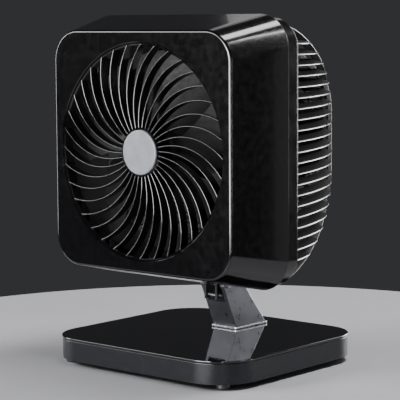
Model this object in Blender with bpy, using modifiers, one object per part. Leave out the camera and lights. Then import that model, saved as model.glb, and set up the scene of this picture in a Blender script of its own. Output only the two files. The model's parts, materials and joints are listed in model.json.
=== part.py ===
"""Table fan with a square head on a leaning arm: every piece that it comes apart into.

Metres, +Z up. The head faces -Y, and the origin is on the floor under the middle of the object's box.
"""

import math

import bmesh
import bpy
from mathutils import Matrix, Vector

GAP = 0.0003  # clearance kept between pieces that touch

# Stand
STAND_Y = -0.034  # middle of the base
BASE_WIDTH = 0.352
BASE_DEPTH = 0.326
BASE_CORNER = 0.063
BASE_TOP = 0.042
TOP_PLATE = 0.0037
TRAY_WALL = 0.004
TRAY_ROOF = 0.0035
FOOT_HEIGHT = 0.008
FOOT_RADIUS = 0.0105
FOOT_INSET = 0.030
BALLAST = (0.220, 0.180, 0.006)

# Arm
ARM_WIDTH = 0.045
ARM_FOOT_Y = (0.0115, 0.0820)  # front and back of the arm where it stands on its foot plate
FOOT_PLATE = 0.0035
FOOT_PLATE_LIP = 0.0025
ARM_SCREW_X = 0.013
ARM_SCREW_Y = (0.030, 0.062)
ARM_SCREW_HOLE = 0.0030

# Tilt pivot, the axis that the head tips about
PIVOT_Y = -0.008
PIVOT_Z = 0.112
PIVOT_RADIUS = 0.0028
KNUCKLE_RADIUS = 0.0095
SLOT_HALF = 0.0165
EAR_INNER = 0.0090
EAR_OUTER = 0.0120
STOP_PIN_Y = -0.014
STOP_PIN_Z = 0.0965
STOP_PIN_RADIUS = 0.0025

# Head
HEAD_Z = 0.3205
FRONT_Y = -0.175
FACE_HALF = (0.1665, 0.1700)
FACE_CORNER = 0.043
RIM_Y = -0.080
RIM_HALF = 0.194
RIM_CORNER = 0.050
SHELL_WALL = 0.0028
OPENING_RADIUS = 0.155
BEZEL_HALF = 0.1895
BEZEL_WALL = 0.006
BEZEL_CORNER = 0.045
BEZEL_BACK = -0.0565

# Front grille
VANES = 36
VANE_INNER = 0.034
VANE_OUTER = 0.1525
VANE_SWEEP = math.radians(25)
VANE_PHASE = math.radians(34)
VANE_THICKNESS = 0.0017
GRILLE_FRONT = -0.1738
CAP_RADIUS = 0.0318

# Rear grille: superellipse sections that shrink and round off towards the back
FINS = 21
FIN_PITCH = 0.0152
FIN_THICKNESS = 0.0022
FIN_DEPTH = 0.015
FIN_SLOPE = math.tan(math.radians(20))  # each fin falls outwards, so that its top face shows
DOME_HALF = 0.187
DOME_LENGTH = 0.27
DOME_POWER = 1.19
DOME_SQUARENESS = (12.0, 5.4)
HUB_PLATE_RADIUS = 0.064
HUB_PLATE_Y = (0.1725, 0.1810)
RIB_X = (-0.088, -0.036, 0.036, 0.088)
RIB_THICKNESS = 0.003
RIB_RECESS = 0.0006
RIB_DEPTH = 0.011
RIM_OF_BACK = math.radians(69)  # where a corner rib, seen from the mouth's middle, turns onto the flat back
CAGE_RING = (0.1868, 0.1790)  # outer and inner half width of the ring at the cage's mouth
CAGE_RING_CORNER = (0.040, 0.034)
CAGE_RING_DEPTH = 0.006

# Motor and impeller
DUCT_RADIUS = 0.1555
DUCT_WALL = 0.0025
FLANGE_HALF = 0.1862
FLANGE_CORNER = 0.044
FLANGE_Y = (-0.0845, -0.0815)
MOUNT_Y = (-0.0812, -0.0772)
MOTOR_RADIUS = 0.043
SHAFT_RADIUS = 0.004
BLADES = 7
BLADE_TIP = 0.146
BLADE_Y = -0.1140  # middle of the blades
IMPELLER_HUB_RADIUS = 0.033

# Rear controls
KNOB_Z = HEAD_Z + 0.016
GLAND_Z = HEAD_Z - 0.034

# Fastenings
SCREW_HOLE = 0.0022  # radius of the hole that a small screw passes through
CORNER_SCREW = 0.1665  # how far the housing screws stand to each side and up or down
MOUNT_SCREW_CIRCLE = 0.168
MOTOR_SCREW_CIRCLE = 0.034
BRACKET_SCREW_X = 0.0245
BRACKET_SCREW_Y = (-0.0490, -0.0110)

PARTS = "square_table_fan"
CUTTERS = "cutters"


def clear_scene():
    for obj in list(bpy.data.objects):
        bpy.data.objects.remove(obj)
    for name in (PARTS, CUTTERS):
        collection = bpy.data.collections.new(name)
        bpy.context.scene.collection.children.link(collection)
    bpy.data.collections[CUTTERS].hide_render = True


def material(name, colour, roughness, metallic=0.0):
    made = bpy.data.materials.new(name)
    made.use_nodes = True
    shader = made.node_tree.nodes["Principled BSDF"]
    shader.inputs["Base Color"].default_value = (*colour, 1.0)
    shader.inputs["Roughness"].default_value = roughness
    shader.inputs["Metallic"].default_value = metallic
    return made


def link(name, mesh, finish=None):
    """A new object among the parts, or among the cutters where it has no finish."""
    obj = bpy.data.objects.new(name, mesh)
    if finish is None:
        bpy.data.collections[CUTTERS].objects.link(obj)
        obj.hide_render = True
        obj.display_type = "WIRE"
    else:
        bpy.data.collections[PARTS].objects.link(obj)
        mesh.materials.clear()
        mesh.materials.append(finish)
    return obj


def mesh_from(name, bm):
    bmesh.ops.recalc_face_normals(bm, faces=bm.faces)
    mesh = bpy.data.meshes.new(name)
    bm.to_mesh(mesh)
    bm.free()
    return mesh


def smooth(obj, angle=35):
    obj.data.shade_smooth()
    obj.data.set_sharp_from_angle(angle=math.radians(angle))
    return obj


def bevel(obj, width, segments=2, angle=40):
    modifier = obj.modifiers.new("rounded edges", "BEVEL")
    modifier.width = width
    modifier.segments = segments
    modifier.limit_method = "ANGLE"
    modifier.angle_limit = math.radians(angle)
    return obj


def box(name, low, high, finish=None):
    bm = bmesh.new()
    size = [b - a for a, b in zip(low, high)]
    middle = [(a + b) / 2 for a, b in zip(low, high)]
    place = Matrix.Translation(middle) @ Matrix.Diagonal((*size, 1.0))
    bmesh.ops.create_cube(bm, size=1.0, matrix=place)
    return link(name, mesh_from(name, bm), finish)


def rod(name, start, end, radius, finish=None, segments=16):
    """A plain cylinder between two points."""
    start, end = Vector(start), Vector(end)
    turn = Vector((0, 0, 1)).rotation_difference(end - start).to_matrix().to_4x4()
    place = Matrix.Translation((start + end) / 2) @ turn
    bm = bmesh.new()
    bmesh.ops.create_cone(
        bm, cap_ends=True, segments=segments, radius1=radius, radius2=radius,
        depth=(end - start).length, matrix=place
    )
    obj = link(name, mesh_from(name, bm), finish)
    return smooth(obj)


def turned(name, profile, place, finish=None, steps=32, closed=False):
    """A Screw of (radius, height) points, listed down the outer side. A closed profile leaves a bore."""
    mesh = bpy.data.meshes.new(name)
    edges = [(i, i + 1) for i in range(len(profile) - 1)]
    if closed:
        edges.append((len(profile) - 1, 0))
    mesh.from_pydata([(radius, 0.0, height) for radius, height in profile], edges, [])
    obj = link(name, mesh, finish)
    obj.matrix_world = place
    screw = obj.modifiers.new("turned", "SCREW")
    screw.steps = steps
    screw.render_steps = steps
    screw.use_merge_vertices = True
    screw.merge_threshold = 1e-5
    screw.use_smooth_shade = True
    return obj


def head_turned(name, profile, finish=None, steps=32, closed=False, z=HEAD_Z):
    """A turned piece on an axis along Y, from (radius, y) points listed from the front on its outer side."""
    place = Matrix.Translation((0.0, 0.0, z)) @ Matrix.Rotation(math.pi / 2, 4, "X")
    return turned(name, [(radius, -y) for radius, y in profile], place, finish, steps, closed)


def along_y(name, x, z, low, high, radius, finish=None, segments=8):
    """A rod along Y, at a place measured from the head's axis."""
    return rod(name, (x, low, HEAD_Z + z), (x, high, HEAD_Z + z), radius, finish, segments)


def screw_fastener(name, place, finish, head=(0.004, 0.0024), shank=(0.0019, 0.010)):
    """A pan-head screw: the head stands on local z 0, and the shank goes down from there."""
    radius, height = head
    profile = [
        (0.0, height),
        (0.7 * radius, height),
        (radius, 0.45 * height),
        (radius, 0.0),
        (shank[0], 0.0),
        (shank[0], -shank[1]),
        (0.0, -shank[1] - 0.5 * shank[0]),
    ]
    return turned(name, profile, place, finish, steps=8)


def plate(name, outlines, low, high, axis, finish=None):
    """A flat outline, with its holes, given a thickness along an axis: points (y, z), (x, z) or (x, y)."""
    curve = bpy.data.curves.new(name, "CURVE")
    curve.dimensions = "2D"
    curve.fill_mode = "BOTH"
    curve.extrude = (high - low) / 2
    for outline in outlines:
        spline = curve.splines.new("POLY")
        spline.points.add(len(outline) - 1)
        for point, (a, b) in zip(spline.points, outline):
            point.co = (a, b, 0.0, 1.0)
        spline.use_cyclic_u = True
    turns = {
        "X": Matrix(((0, 0, 1, 0), (1, 0, 0, 0), (0, 1, 0, 0), (0, 0, 0, 1))),
        "Y": Matrix(((1, 0, 0, 0), (0, 0, -1, 0), (0, 1, 0, 0), (0, 0, 0, 1))),
        "Z": Matrix.Identity(4),
    }
    middle = (low + high) / 2
    offset = {"X": (middle, 0, 0), "Y": (0, middle, 0), "Z": (0, 0, middle)}[axis]
    guide = bpy.data.objects.new(name + "_outline", curve)
    bpy.context.scene.collection.objects.link(guide)
    graph = bpy.context.evaluated_depsgraph_get()
    mesh = bpy.data.meshes.new_from_object(guide.evaluated_get(graph))
    bpy.data.objects.remove(guide)
    bm = bmesh.new()
    bm.from_mesh(mesh)
    bpy.data.meshes.remove(mesh)
    bmesh.ops.remove_doubles(bm, verts=bm.verts, dist=1e-6)
    bmesh.ops.transform(bm, matrix=Matrix.Translation(offset) @ turns[axis], verts=bm.verts)
    return link(name, mesh_from(name, bm), finish)


def loft(name, rings, finish=None):
    """A closed skin over rings of points that have the same count, with a face over each end."""
    bm = bmesh.new()
    loops = [[bm.verts.new(point) for point in ring] for ring in rings]
    for near, far in zip(loops, loops[1:]):
        for i in range(len(near)):
            j = (i + 1) % len(near)
            bm.faces.new((near[i], near[j], far[j], far[i]))
    bm.faces.new(loops[0][::-1])
    bm.faces.new(loops[-1])
    return link(name, mesh_from(name, bm), finish)


def combine(obj, others, operation, solver="EXACT"):
    """Applies one Boolean with each of the other objects in turn, and drops those that were only shapes."""
    for other in others:
        modifier = obj.modifiers.new(operation.lower(), "BOOLEAN")
        modifier.operation = operation
        modifier.solver = solver
        modifier.object = other
    graph = bpy.context.evaluated_depsgraph_get()
    mesh = bpy.data.meshes.new_from_object(obj.evaluated_get(graph))
    obj.modifiers.clear()
    finish = list(obj.data.materials)
    obj.data = mesh
    mesh.materials.clear()
    for slot in finish:
        mesh.materials.append(slot)
    for other in others:
        bpy.data.objects.remove(other)
    return smooth(obj)


def arc(centre, radius, start, end, steps):
    """Points on an arc between two angles in degrees, both ends included."""
    angles = [math.radians(start + (end - start) * i / steps) for i in range(steps + 1)]
    return [(centre[0] + radius * math.cos(a), centre[1] + radius * math.sin(a)) for a in angles]


def rounded_rectangle(half_a, half_b, radius, centre=(0.0, 0.0), steps=7):
    points = []
    for sign_a, sign_b, start in ((1, 1, 0), (-1, 1, 90), (-1, -1, 180), (1, -1, 270)):
        corner = (centre[0] + sign_a * (half_a - radius), centre[1] + sign_b * (half_b - radius))
        points += arc(corner, radius, start, start + 90, steps)
    return points


def circle(radius, centre=(0.0, 0.0), steps=60):
    return arc(centre, radius, 0, 360, steps)[:-1]


# ---------------------------------------------------------------- stand


def make_base(black, gloss, steel, rubber):
    half = (BASE_WIDTH / 2, BASE_DEPTH / 2)
    centre = (0.0, STAND_Y)
    tray_top = BASE_TOP - TOP_PLATE - GAP
    edge = 0.0008  # the side band stands this far inside the top plate's edge
    outline = rounded_rectangle(half[0] - edge, half[1] - edge, BASE_CORNER, centre)
    tray = plate("base_tray", [outline], FOOT_HEIGHT, tray_top, "Z", black)
    inset = TRAY_WALL + edge
    pocket_outline = rounded_rectangle(half[0] - inset, half[1] - inset, BASE_CORNER - TRAY_WALL, centre)
    pocket = plate("tray_pocket", [pocket_outline], FOOT_HEIGHT - 0.01, tray_top - TRAY_ROOF, "Z")
    combine(tray, [pocket] + arm_screw_holes(), "DIFFERENCE")

    top_outline = rounded_rectangle(half[0], half[1], BASE_CORNER, centre)
    top = plate("base_top_plate", [top_outline], BASE_TOP - TOP_PLATE, BASE_TOP, "Z", gloss)
    bevel(top, 0.0012, segments=1)
    combine(top, arm_screw_holes(), "DIFFERENCE")

    fit = inset + GAP
    bottom_outline = rounded_rectangle(half[0] - fit, half[1] - fit, BASE_CORNER - TRAY_WALL, centre)
    bottom = (FOOT_HEIGHT + 0.0004, FOOT_HEIGHT + 0.0029)
    plate("base_bottom_plate", [bottom_outline], *bottom, "Z", black)

    size = [side / 2 for side in BALLAST[:2]]
    ballast_outline = rounded_rectangle(*size, 0.012, centre, steps=3)
    low = bottom[1] + GAP
    plate("ballast_plate", [ballast_outline], low, low + BALLAST[2], "Z", steel)

    reach = (half[0] - FOOT_INSET, half[1] - FOOT_INSET)
    corners = [(a, b) for a in (-1, 1) for b in (-1, 1)]
    top_of_foot = bottom[0] - GAP
    for number, (a, b) in enumerate(corners, 1):
        place = Matrix.Translation((a * reach[0], STAND_Y + b * reach[1], 0.0))
        profile = [
            (0.0, top_of_foot),
            (FOOT_RADIUS - 0.0010, top_of_foot),
            (FOOT_RADIUS, top_of_foot - 0.0010),
            (FOOT_RADIUS, 0.0012),
            (FOOT_RADIUS - 0.0012, 0.0),
            (0.0, 0.0),
        ]
        turned(f"foot_{number}", profile, place, rubber, steps=16)


def arm_screw_places():
    return [(x, y) for x in (-ARM_SCREW_X, ARM_SCREW_X) for y in ARM_SCREW_Y]


def arm_screw_holes():
    low, high = 0.030, 0.066
    return [
        rod("arm_screw_hole", (x, y, low), (x, y, high), ARM_SCREW_HOLE, segments=8)
        for x, y in arm_screw_places()
    ]


def make_arm(grey, steel):
    low = BASE_TOP + GAP
    lip = FOOT_PLATE_LIP
    front, back = ARM_FOOT_Y
    foot_outline = rounded_rectangle(
        ARM_WIDTH / 2 + lip, (back - front) / 2 + lip, 0.003, (0.0, (front + back) / 2), steps=3
    )
    foot = plate("arm_foot_plate", [foot_outline], low, low + FOOT_PLATE, "Z", steel)
    bevel(foot, 0.0006, segments=1)
    combine(foot, arm_screw_holes(), "DIFFERENCE")

    bottom = low + FOOT_PLATE + GAP
    outline = [(front, bottom)]
    outline += arc((PIVOT_Y, PIVOT_Z), KNUCKLE_RADIUS, 186, 60, 7)
    outline += [(0.0040, PIVOT_Z + 0.0040), (0.0260, PIVOT_Z + 0.0035), (back, bottom)]
    arm = plate("arm_column", [outline], -ARM_WIDTH / 2, ARM_WIDTH / 2, "X", grey)
    bevel(arm, 0.0008, segments=1, angle=50)
    slot = plate(
        "knuckle_slot",
        [[(-0.040, 0.086), (-0.0060, 0.086), (0.0080, 0.094), (0.0080, 0.140), (-0.040, 0.140)]],
        -SLOT_HALF,
        SLOT_HALF,
        "X",
    )
    bore = rod("pivot_bore", (-0.04, PIVOT_Y, PIVOT_Z), (0.04, PIVOT_Y, PIVOT_Z), PIVOT_RADIUS + GAP)
    combine(arm, [slot, bore] + arm_screw_holes(), "DIFFERENCE")

    under_tray = BASE_TOP - TOP_PLATE - GAP - TRAY_ROOF - GAP
    for number, (x, y) in enumerate(arm_screw_places(), 1):
        place = Matrix.Translation((x, y, under_tray)) @ Matrix.Rotation(math.pi, 4, "X")
        screw_fastener(f"arm_screw_{number}", place, steel, head=(0.0050, 0.0030), shank=(0.0026, 0.0290))


def make_pivot(steel, nylon):
    """The bolt that the head tips on, with its nut outside one wall and a spacer washer at each ear."""
    wall = ARM_WIDTH / 2
    along_x = Matrix.Translation((0.0, PIVOT_Y, PIVOT_Z)) @ Matrix.Rotation(math.pi / 2, 4, "Y")
    head_at = wall + GAP
    bolt_end = -wall - 0.0055
    profile = [
        (0.0, head_at + 0.0030),
        (0.0036, head_at + 0.0030),
        (0.0048, head_at + 0.0020),
        (0.0048, head_at),
        (PIVOT_RADIUS, head_at),
        (PIVOT_RADIUS, bolt_end),
        (0.0, bolt_end),
    ]
    turned("pivot_bolt", profile, along_x, steel, steps=16)
    nut_ends = [(x, PIVOT_Y, PIVOT_Z) for x in (-wall - GAP, -wall - 0.0045)]
    nut = rod("pivot_nut", *nut_ends, 0.0058, steel, segments=6)
    bore = rod("nut_bore", (-0.05, PIVOT_Y, PIVOT_Z), (0.0, PIVOT_Y, PIVOT_Z), PIVOT_RADIUS + GAP)
    combine(nut, [bore], "DIFFERENCE")
    inner, outer = EAR_OUTER + GAP, SLOT_HALF - GAP
    bore_radius = PIVOT_RADIUS + GAP
    for number, side in enumerate((-1, 1), 1):
        ends = sorted((side * inner, side * outer), reverse=True)
        washer = [(0.0072, ends[0]), (0.0072, ends[1]), (bore_radius, ends[1]), (bore_radius, ends[0])]
        turned(f"friction_washer_{number}", washer, along_x, nylon, steps=16, closed=True)


# ---------------------------------------------------------------- tilting head


def make_bracket(steel, bright):
    top = HEAD_Z - BEZEL_HALF - GAP
    sheet = 0.003
    flange_y = (-0.070, 0.003)
    half_width = 0.032
    middle = sum(flange_y) / 2
    half_depth = (flange_y[1] - flange_y[0]) / 2
    outline = rounded_rectangle(half_width, half_depth, 0.004, (0.0, middle), steps=3)
    bracket = plate("tilt_bracket", [outline], top - sheet, top, "Z", steel)
    root = top - 0.001
    ears = []
    for side in (-1, 1):
        low, high = sorted((side * EAR_INNER, side * EAR_OUTER))
        ear = [(-0.0215, root), (-0.0215, 0.0905), (-0.0055, 0.0935), (0.0005, 0.100), (0.0005, root)]
        ears.append(plate("ear", [ear], low, high, "X"))
    combine(bracket, ears, "UNION")
    past_ears = 0.03
    holes = []
    for name, y, z, radius in (
        ("pivot_hole", PIVOT_Y, PIVOT_Z, PIVOT_RADIUS),
        ("stop_hole", STOP_PIN_Y, STOP_PIN_Z, STOP_PIN_RADIUS),
    ):
        holes.append(rod(name, (-past_ears, y, z), (past_ears, y, z), radius + GAP))
    for x, y in bracket_screw_places():
        holes.append(rod("screw_hole", (x, y, top - 0.02), (x, y, top + 0.02), SCREW_HOLE, segments=8))
    combine(bracket, holes, "DIFFERENCE")
    for number, (x, y) in enumerate(bracket_screw_places(), 1):
        place = Matrix.Translation((x, y, top - sheet - GAP)) @ Matrix.Rotation(math.pi, 4, "X")
        screw_fastener(f"bracket_screw_{number}", place, bright)
    pin_ends = [(x, STOP_PIN_Y, STOP_PIN_Z) for x in (-0.0155, 0.0155)]
    rod("stop_pin", *pin_ends, STOP_PIN_RADIUS, bright, segments=16)


def bracket_screw_places():
    return [(x, y) for x in (-BRACKET_SCREW_X, BRACKET_SCREW_X) for y in BRACKET_SCREW_Y]


def shell_ring(back, inset):
    """A rounded square section of the housing, this far behind its front face and inside its skin."""
    share = back / (RIM_Y - FRONT_Y)
    taper = 0.0020 * min(1.0, back / 0.003) ** 0.5 + (RIM_HALF - FACE_HALF[1] - 0.0020) * share
    half_x = FACE_HALF[0] + (RIM_HALF - FACE_HALF[0]) / (RIM_HALF - FACE_HALF[1]) * taper - inset
    half_z = FACE_HALF[1] + taper - inset
    corner = FACE_CORNER + (RIM_CORNER - FACE_CORNER) * share - inset
    outline = rounded_rectangle(half_x, half_z, corner, steps=8)
    return [(x, FRONT_Y + back, HEAD_Z + z) for x, z in outline]


def make_housing(gloss, black):
    depth = RIM_Y - FRONT_Y
    stations = (0.0, 0.0008, 0.0030, 0.030, 0.062, depth)
    shell = loft("front_shell", [shell_ring(back, 0.0) for back in stations], gloss)
    inner_stations = (SHELL_WALL, 0.030, 0.062, depth + 0.004)
    hollow = loft("shell_hollow", [shell_ring(back, SHELL_WALL) for back in inner_stations])
    clear = 0.01  # how far the cutter runs past each side of the wall
    chamfer = 0.0012
    mouth = head_turned(
        "shell_mouth",
        [
            (0.0, FRONT_Y - clear),
            (OPENING_RADIUS + chamfer + clear, FRONT_Y - clear),
            (OPENING_RADIUS, FRONT_Y + chamfer),
            (OPENING_RADIUS, FRONT_Y + clear),
            (0.0, FRONT_Y + clear),
        ],
        steps=72,
    )
    combine(shell, [hollow, mouth], "DIFFERENCE")

    duct_front = FRONT_Y + SHELL_WALL + GAP
    bore = circle(DUCT_RADIUS, steps=48)
    flange_outline = rounded_rectangle(FLANGE_HALF, FLANGE_HALF, FLANGE_CORNER, steps=4)
    duct = plate("air_duct", [flange_outline, bore], *FLANGE_Y, "Y", black)
    tube_outline = circle(DUCT_RADIUS + DUCT_WALL, steps=48)
    tube = plate("duct_tube", [tube_outline, bore], duct_front, FLANGE_Y[1], "Y")
    for obj in (duct, tube):
        raise_to_head(obj)
    combine(duct, [tube], "UNION")
    combine(duct, corner_holes() + mount_screw_holes(), "DIFFERENCE")


def raise_to_head(obj):
    """Moves a shape drawn about the head's own axis up to the head's height."""
    obj.data.transform(Matrix.Translation((0.0, 0.0, HEAD_Z)))
    return obj


def corner_places():
    return [(x, z) for x in (-CORNER_SCREW, CORNER_SCREW) for z in (-CORNER_SCREW, CORNER_SCREW)]


def corner_holes():
    return [along_y("corner_hole", x, z, -0.0900, -0.0500, SCREW_HOLE) for x, z in corner_places()]


def make_bezel(black, bright):
    front = FLANGE_Y[1] + GAP
    inner = BEZEL_HALF - BEZEL_WALL
    rings = [rounded_rectangle(BEZEL_HALF, BEZEL_HALF, BEZEL_CORNER, steps=8)]
    rings.append(rounded_rectangle(inner, inner, BEZEL_CORNER - BEZEL_WALL, steps=8))
    bezel = raise_to_head(plate("rear_bezel", rings, front, BEZEL_BACK, "Y", black))
    boss_end = BEZEL_BACK - 0.003
    bosses = [along_y("boss", x, z, front, boss_end, 0.009, segments=16) for x, z in corner_places()]
    combine(bezel, bosses, "UNION")
    combine(bezel, corner_holes(), "DIFFERENCE")
    forwards = Matrix.Rotation(-math.pi / 2, 4, "X")
    for number, (x, z) in enumerate(corner_places(), 1):
        place = Matrix.Translation((x, boss_end + GAP, HEAD_Z + z)) @ forwards
        name = f"housing_screw_{number}"
        screw_fastener(name, place, bright, head=(0.0038, 0.0022), shank=(0.0018, 0.0270))


def vane_outline():
    """One swept vane seen from the front: a thin curved strip whose angle falls as its radius grows."""
    steps = 5
    middle = []
    for i in range(steps + 1):
        share = i / steps
        radius = VANE_INNER + (VANE_OUTER - VANE_INNER) * share
        angle = VANE_PHASE - VANE_SWEEP * share**1.5
        middle.append(Vector((radius * math.cos(angle), radius * math.sin(angle))))
    one_side, other_side = [], []
    for i, point in enumerate(middle):
        run = (middle[min(i + 1, steps)] - middle[max(i - 1, 0)]).normalized()
        across = Vector((-run.y, run.x)) * VANE_THICKNESS / 2
        one_side.append(tuple(point + across))
        other_side.append(tuple(point - across))
    return one_side + other_side[::-1]


def spun(outline, turn):
    """The points of an outline turned about the middle, by an angle in radians."""
    cos, sin = math.cos(turn), math.sin(turn)
    return [(a * cos - b * sin, a * sin + b * cos) for a, b in outline]


def make_front_grille(gloss, pale):
    ring = head_turned(
        "front_grille",
        [
            (OPENING_RADIUS - 0.0007, GRILLE_FRONT + 0.0005),
            (OPENING_RADIUS - 0.0007, GRILLE_FRONT + 0.0180),
            (OPENING_RADIUS - 0.0040, GRILLE_FRONT + 0.0180),
            (OPENING_RADIUS - 0.0040, GRILLE_FRONT + 0.0020),
            (OPENING_RADIUS - 0.0020, GRILLE_FRONT + 0.0005),
        ],
        gloss,
        steps=60,
        closed=True,
    )
    hub = head_turned(
        "grille_hub",
        [
            (0.0, GRILLE_FRONT + 0.0030),
            (CAP_RADIUS + 0.0010, GRILLE_FRONT + 0.0030),
            (CAP_RADIUS + 0.0010, GRILLE_FRONT - 0.0002),
            (CAP_RADIUS + 0.0024, GRILLE_FRONT - 0.0002),
            (CAP_RADIUS + 0.0044, GRILLE_FRONT + 0.0020),
            (CAP_RADIUS + 0.0044, GRILLE_FRONT + 0.0110),
            (0.0, GRILLE_FRONT + 0.0110),
        ],
        steps=36,
    )
    pieces = [hub]
    outline = vane_outline()
    vane_y = (GRILLE_FRONT + 0.0004, GRILLE_FRONT + 0.0150)
    for number in range(VANES):
        swept = spun(outline, 2 * math.pi * number / VANES)
        pieces.append(raise_to_head(plate("vane", [swept], *vane_y, "Y")))
    combine(ring, pieces, "UNION")

    cap_front = FRONT_Y - 0.0008
    cap_back = GRILLE_FRONT + 0.0030 - GAP
    profile = [
        (0.0, cap_front),
        (CAP_RADIUS - 0.0080, cap_front + 0.0002),
        (CAP_RADIUS - 0.0010, cap_front + 0.0010),
        (CAP_RADIUS, cap_front + 0.0018),
        (CAP_RADIUS, cap_back),
        (0.0, cap_back),
    ]
    head_turned("centre_cap", profile, pale, steps=32)


def dome_section(y):
    """(half size, squareness) of the rear grille's section at a world Y."""
    share = min(max((y - BEZEL_BACK) / DOME_LENGTH, 0.0), 1.0)
    half = DOME_HALF * math.sqrt(1.0 - share**DOME_POWER)
    squareness = DOME_SQUARENESS[0] + (DOME_SQUARENESS[1] - DOME_SQUARENESS[0]) * share
    return half, squareness


def dome_reach(angle, off_plane=None):
    """Distance from the middle of the dome's mouth to its skin, at an angle up from the mouth.

    The plane is level or upright, this far off the axis, or is the one through two corners where it is None.
    """
    near, far = 0.0, 0.4
    for _ in range(40):
        middle = (near + far) / 2
        half, squareness = dome_section(BEZEL_BACK + middle * math.sin(angle))
        across = middle * math.cos(angle)
        if off_plane is None:
            total = 2 * (across * math.sqrt(0.5)) ** squareness
        else:
            total = across**squareness + abs(off_plane) ** squareness
        near, far = (middle, far) if total < half**squareness else (near, middle)
    return near


def dome_line(angles, recess, depth, off_plane=None):
    """Pairs of (across, y) points on a strip's outer and inner edges, this far and deep inside the skin."""
    start = BEZEL_BACK + GAP
    deepest = HUB_PLATE_Y[1] - 0.002
    least_depth = 0.004
    pairs = []
    for angle in angles:
        reach = dome_reach(min(angle, math.pi - angle), off_plane) - recess
        outer, inner = [(d * math.cos(angle), start + d * math.sin(angle)) for d in (reach, reach - depth)]
        outer = (outer[0], min(outer[1], deepest))
        inner = (inner[0], min(inner[1], deepest - least_depth))
        pairs.append((outer, inner))
    return pairs


def half_turn(steps):
    return [math.pi * i / (2 * steps) for i in range(2 * steps + 1)]


def dome_fin(offset):
    """A U-shaped louver round the cage at one level. Its inner edge stands higher than its outer one."""
    low = HEAD_Z + offset - FIN_THICKNESS / 2
    rings = []
    for outer, inner in dome_line(half_turn(6), 0.0, FIN_DEPTH, offset):
        raised = low + FIN_SLOPE * math.dist(outer, inner)
        ring = [(*outer, low), (*outer, low + FIN_THICKNESS)]
        ring += [(*inner, raised + FIN_THICKNESS), (*inner, raised)]
        rings.append(ring)
    return loft("fin", rings)


def dome_rib(x):
    """An upright rib over the cage's back, from the top of its mouth to the bottom."""
    pairs = dome_line(half_turn(7), RIB_RECESS, RIB_DEPTH, x)
    outline = [outer for outer, inner in pairs] + [inner for outer, inner in reversed(pairs)]
    outline = [(y, HEAD_Z + z) for z, y in outline]
    return plate("rib", [outline], x - RIB_THICKNESS / 2, x + RIB_THICKNESS / 2, "X")


def corner_rib(number):
    """A rib on one of the cage's four rounded edges, from its mouth's corner to the back plate."""
    steps = 6
    angles = [RIM_OF_BACK * i / steps for i in range(steps + 1)] + [math.radians(82)]
    turn = Matrix.Rotation(math.pi / 4 + number * math.pi / 2, 4, "Y")
    half = RIB_THICKNESS / 2
    rings = []
    for outer, inner in dome_line(angles, RIB_RECESS, RIB_DEPTH):
        ring = [(*outer, -half), (*outer, half), (*inner, half), (*inner, -half)]
        rings.append([turn @ Vector(point) for point in ring])
    return raise_to_head(loft("corner_rib", rings))


def make_rear_grille(black):
    back = BEZEL_BACK + GAP
    rings = [
        rounded_rectangle(half, half, corner, steps=8) for half, corner in zip(CAGE_RING, CAGE_RING_CORNER)
    ]
    grille = raise_to_head(plate("rear_grille", rings, back, back + CAGE_RING_DEPTH, "Y", black))
    pieces = [dome_fin((number - (FINS - 1) / 2) * FIN_PITCH) for number in range(FINS)]
    pieces += [dome_rib(x) for x in RIB_X]
    pieces += [corner_rib(number) for number in range(4)]
    hub = plate("hub_plate", [circle(HUB_PLATE_RADIUS, steps=28)], *HUB_PLATE_Y, "Y")
    pieces.append(raise_to_head(hub))
    pad_low = HEAD_Z - BEZEL_HALF
    pad_half = 0.0372
    pieces.append(box("pad", (-pad_half, back + 0.0004, pad_low), (pad_half, 0.0040, pad_low + 0.0110)))
    combine(grille, pieces, "UNION", solver="MANIFOLD")
    holes = [
        along_y("knob_hole", 0.0, KNOB_Z - HEAD_Z, 0.16, 0.20, 0.0036, segments=16),
        along_y("gland_hole", 0.0, GLAND_Z - HEAD_Z, 0.16, 0.20, 0.0062, segments=20),
    ]
    for x, y in bracket_screw_places():
        ends = [(x, y, z) for z in (pad_low - 0.01, pad_low + 0.0085)]
        holes.append(rod("screw_hole", *ends, SCREW_HOLE, segments=8))
    combine(grille, holes, "DIFFERENCE", solver="MANIFOLD")


# ---------------------------------------------------------------- motor


def mount_screw_places():
    reach = MOUNT_SCREW_CIRCLE * math.sqrt(0.5)
    return [(x, z) for x in (-reach, reach) for z in (-reach, reach)]


def mount_screw_holes():
    return [along_y("mount_screw_hole", x, z, -0.095, -0.070, SCREW_HOLE) for x, z in mount_screw_places()]


def motor_screw_places():
    return [spun([(MOTOR_SCREW_CIRCLE, 0.0)], math.radians(angle))[0] for angle in (90, 210, 330)]


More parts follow.
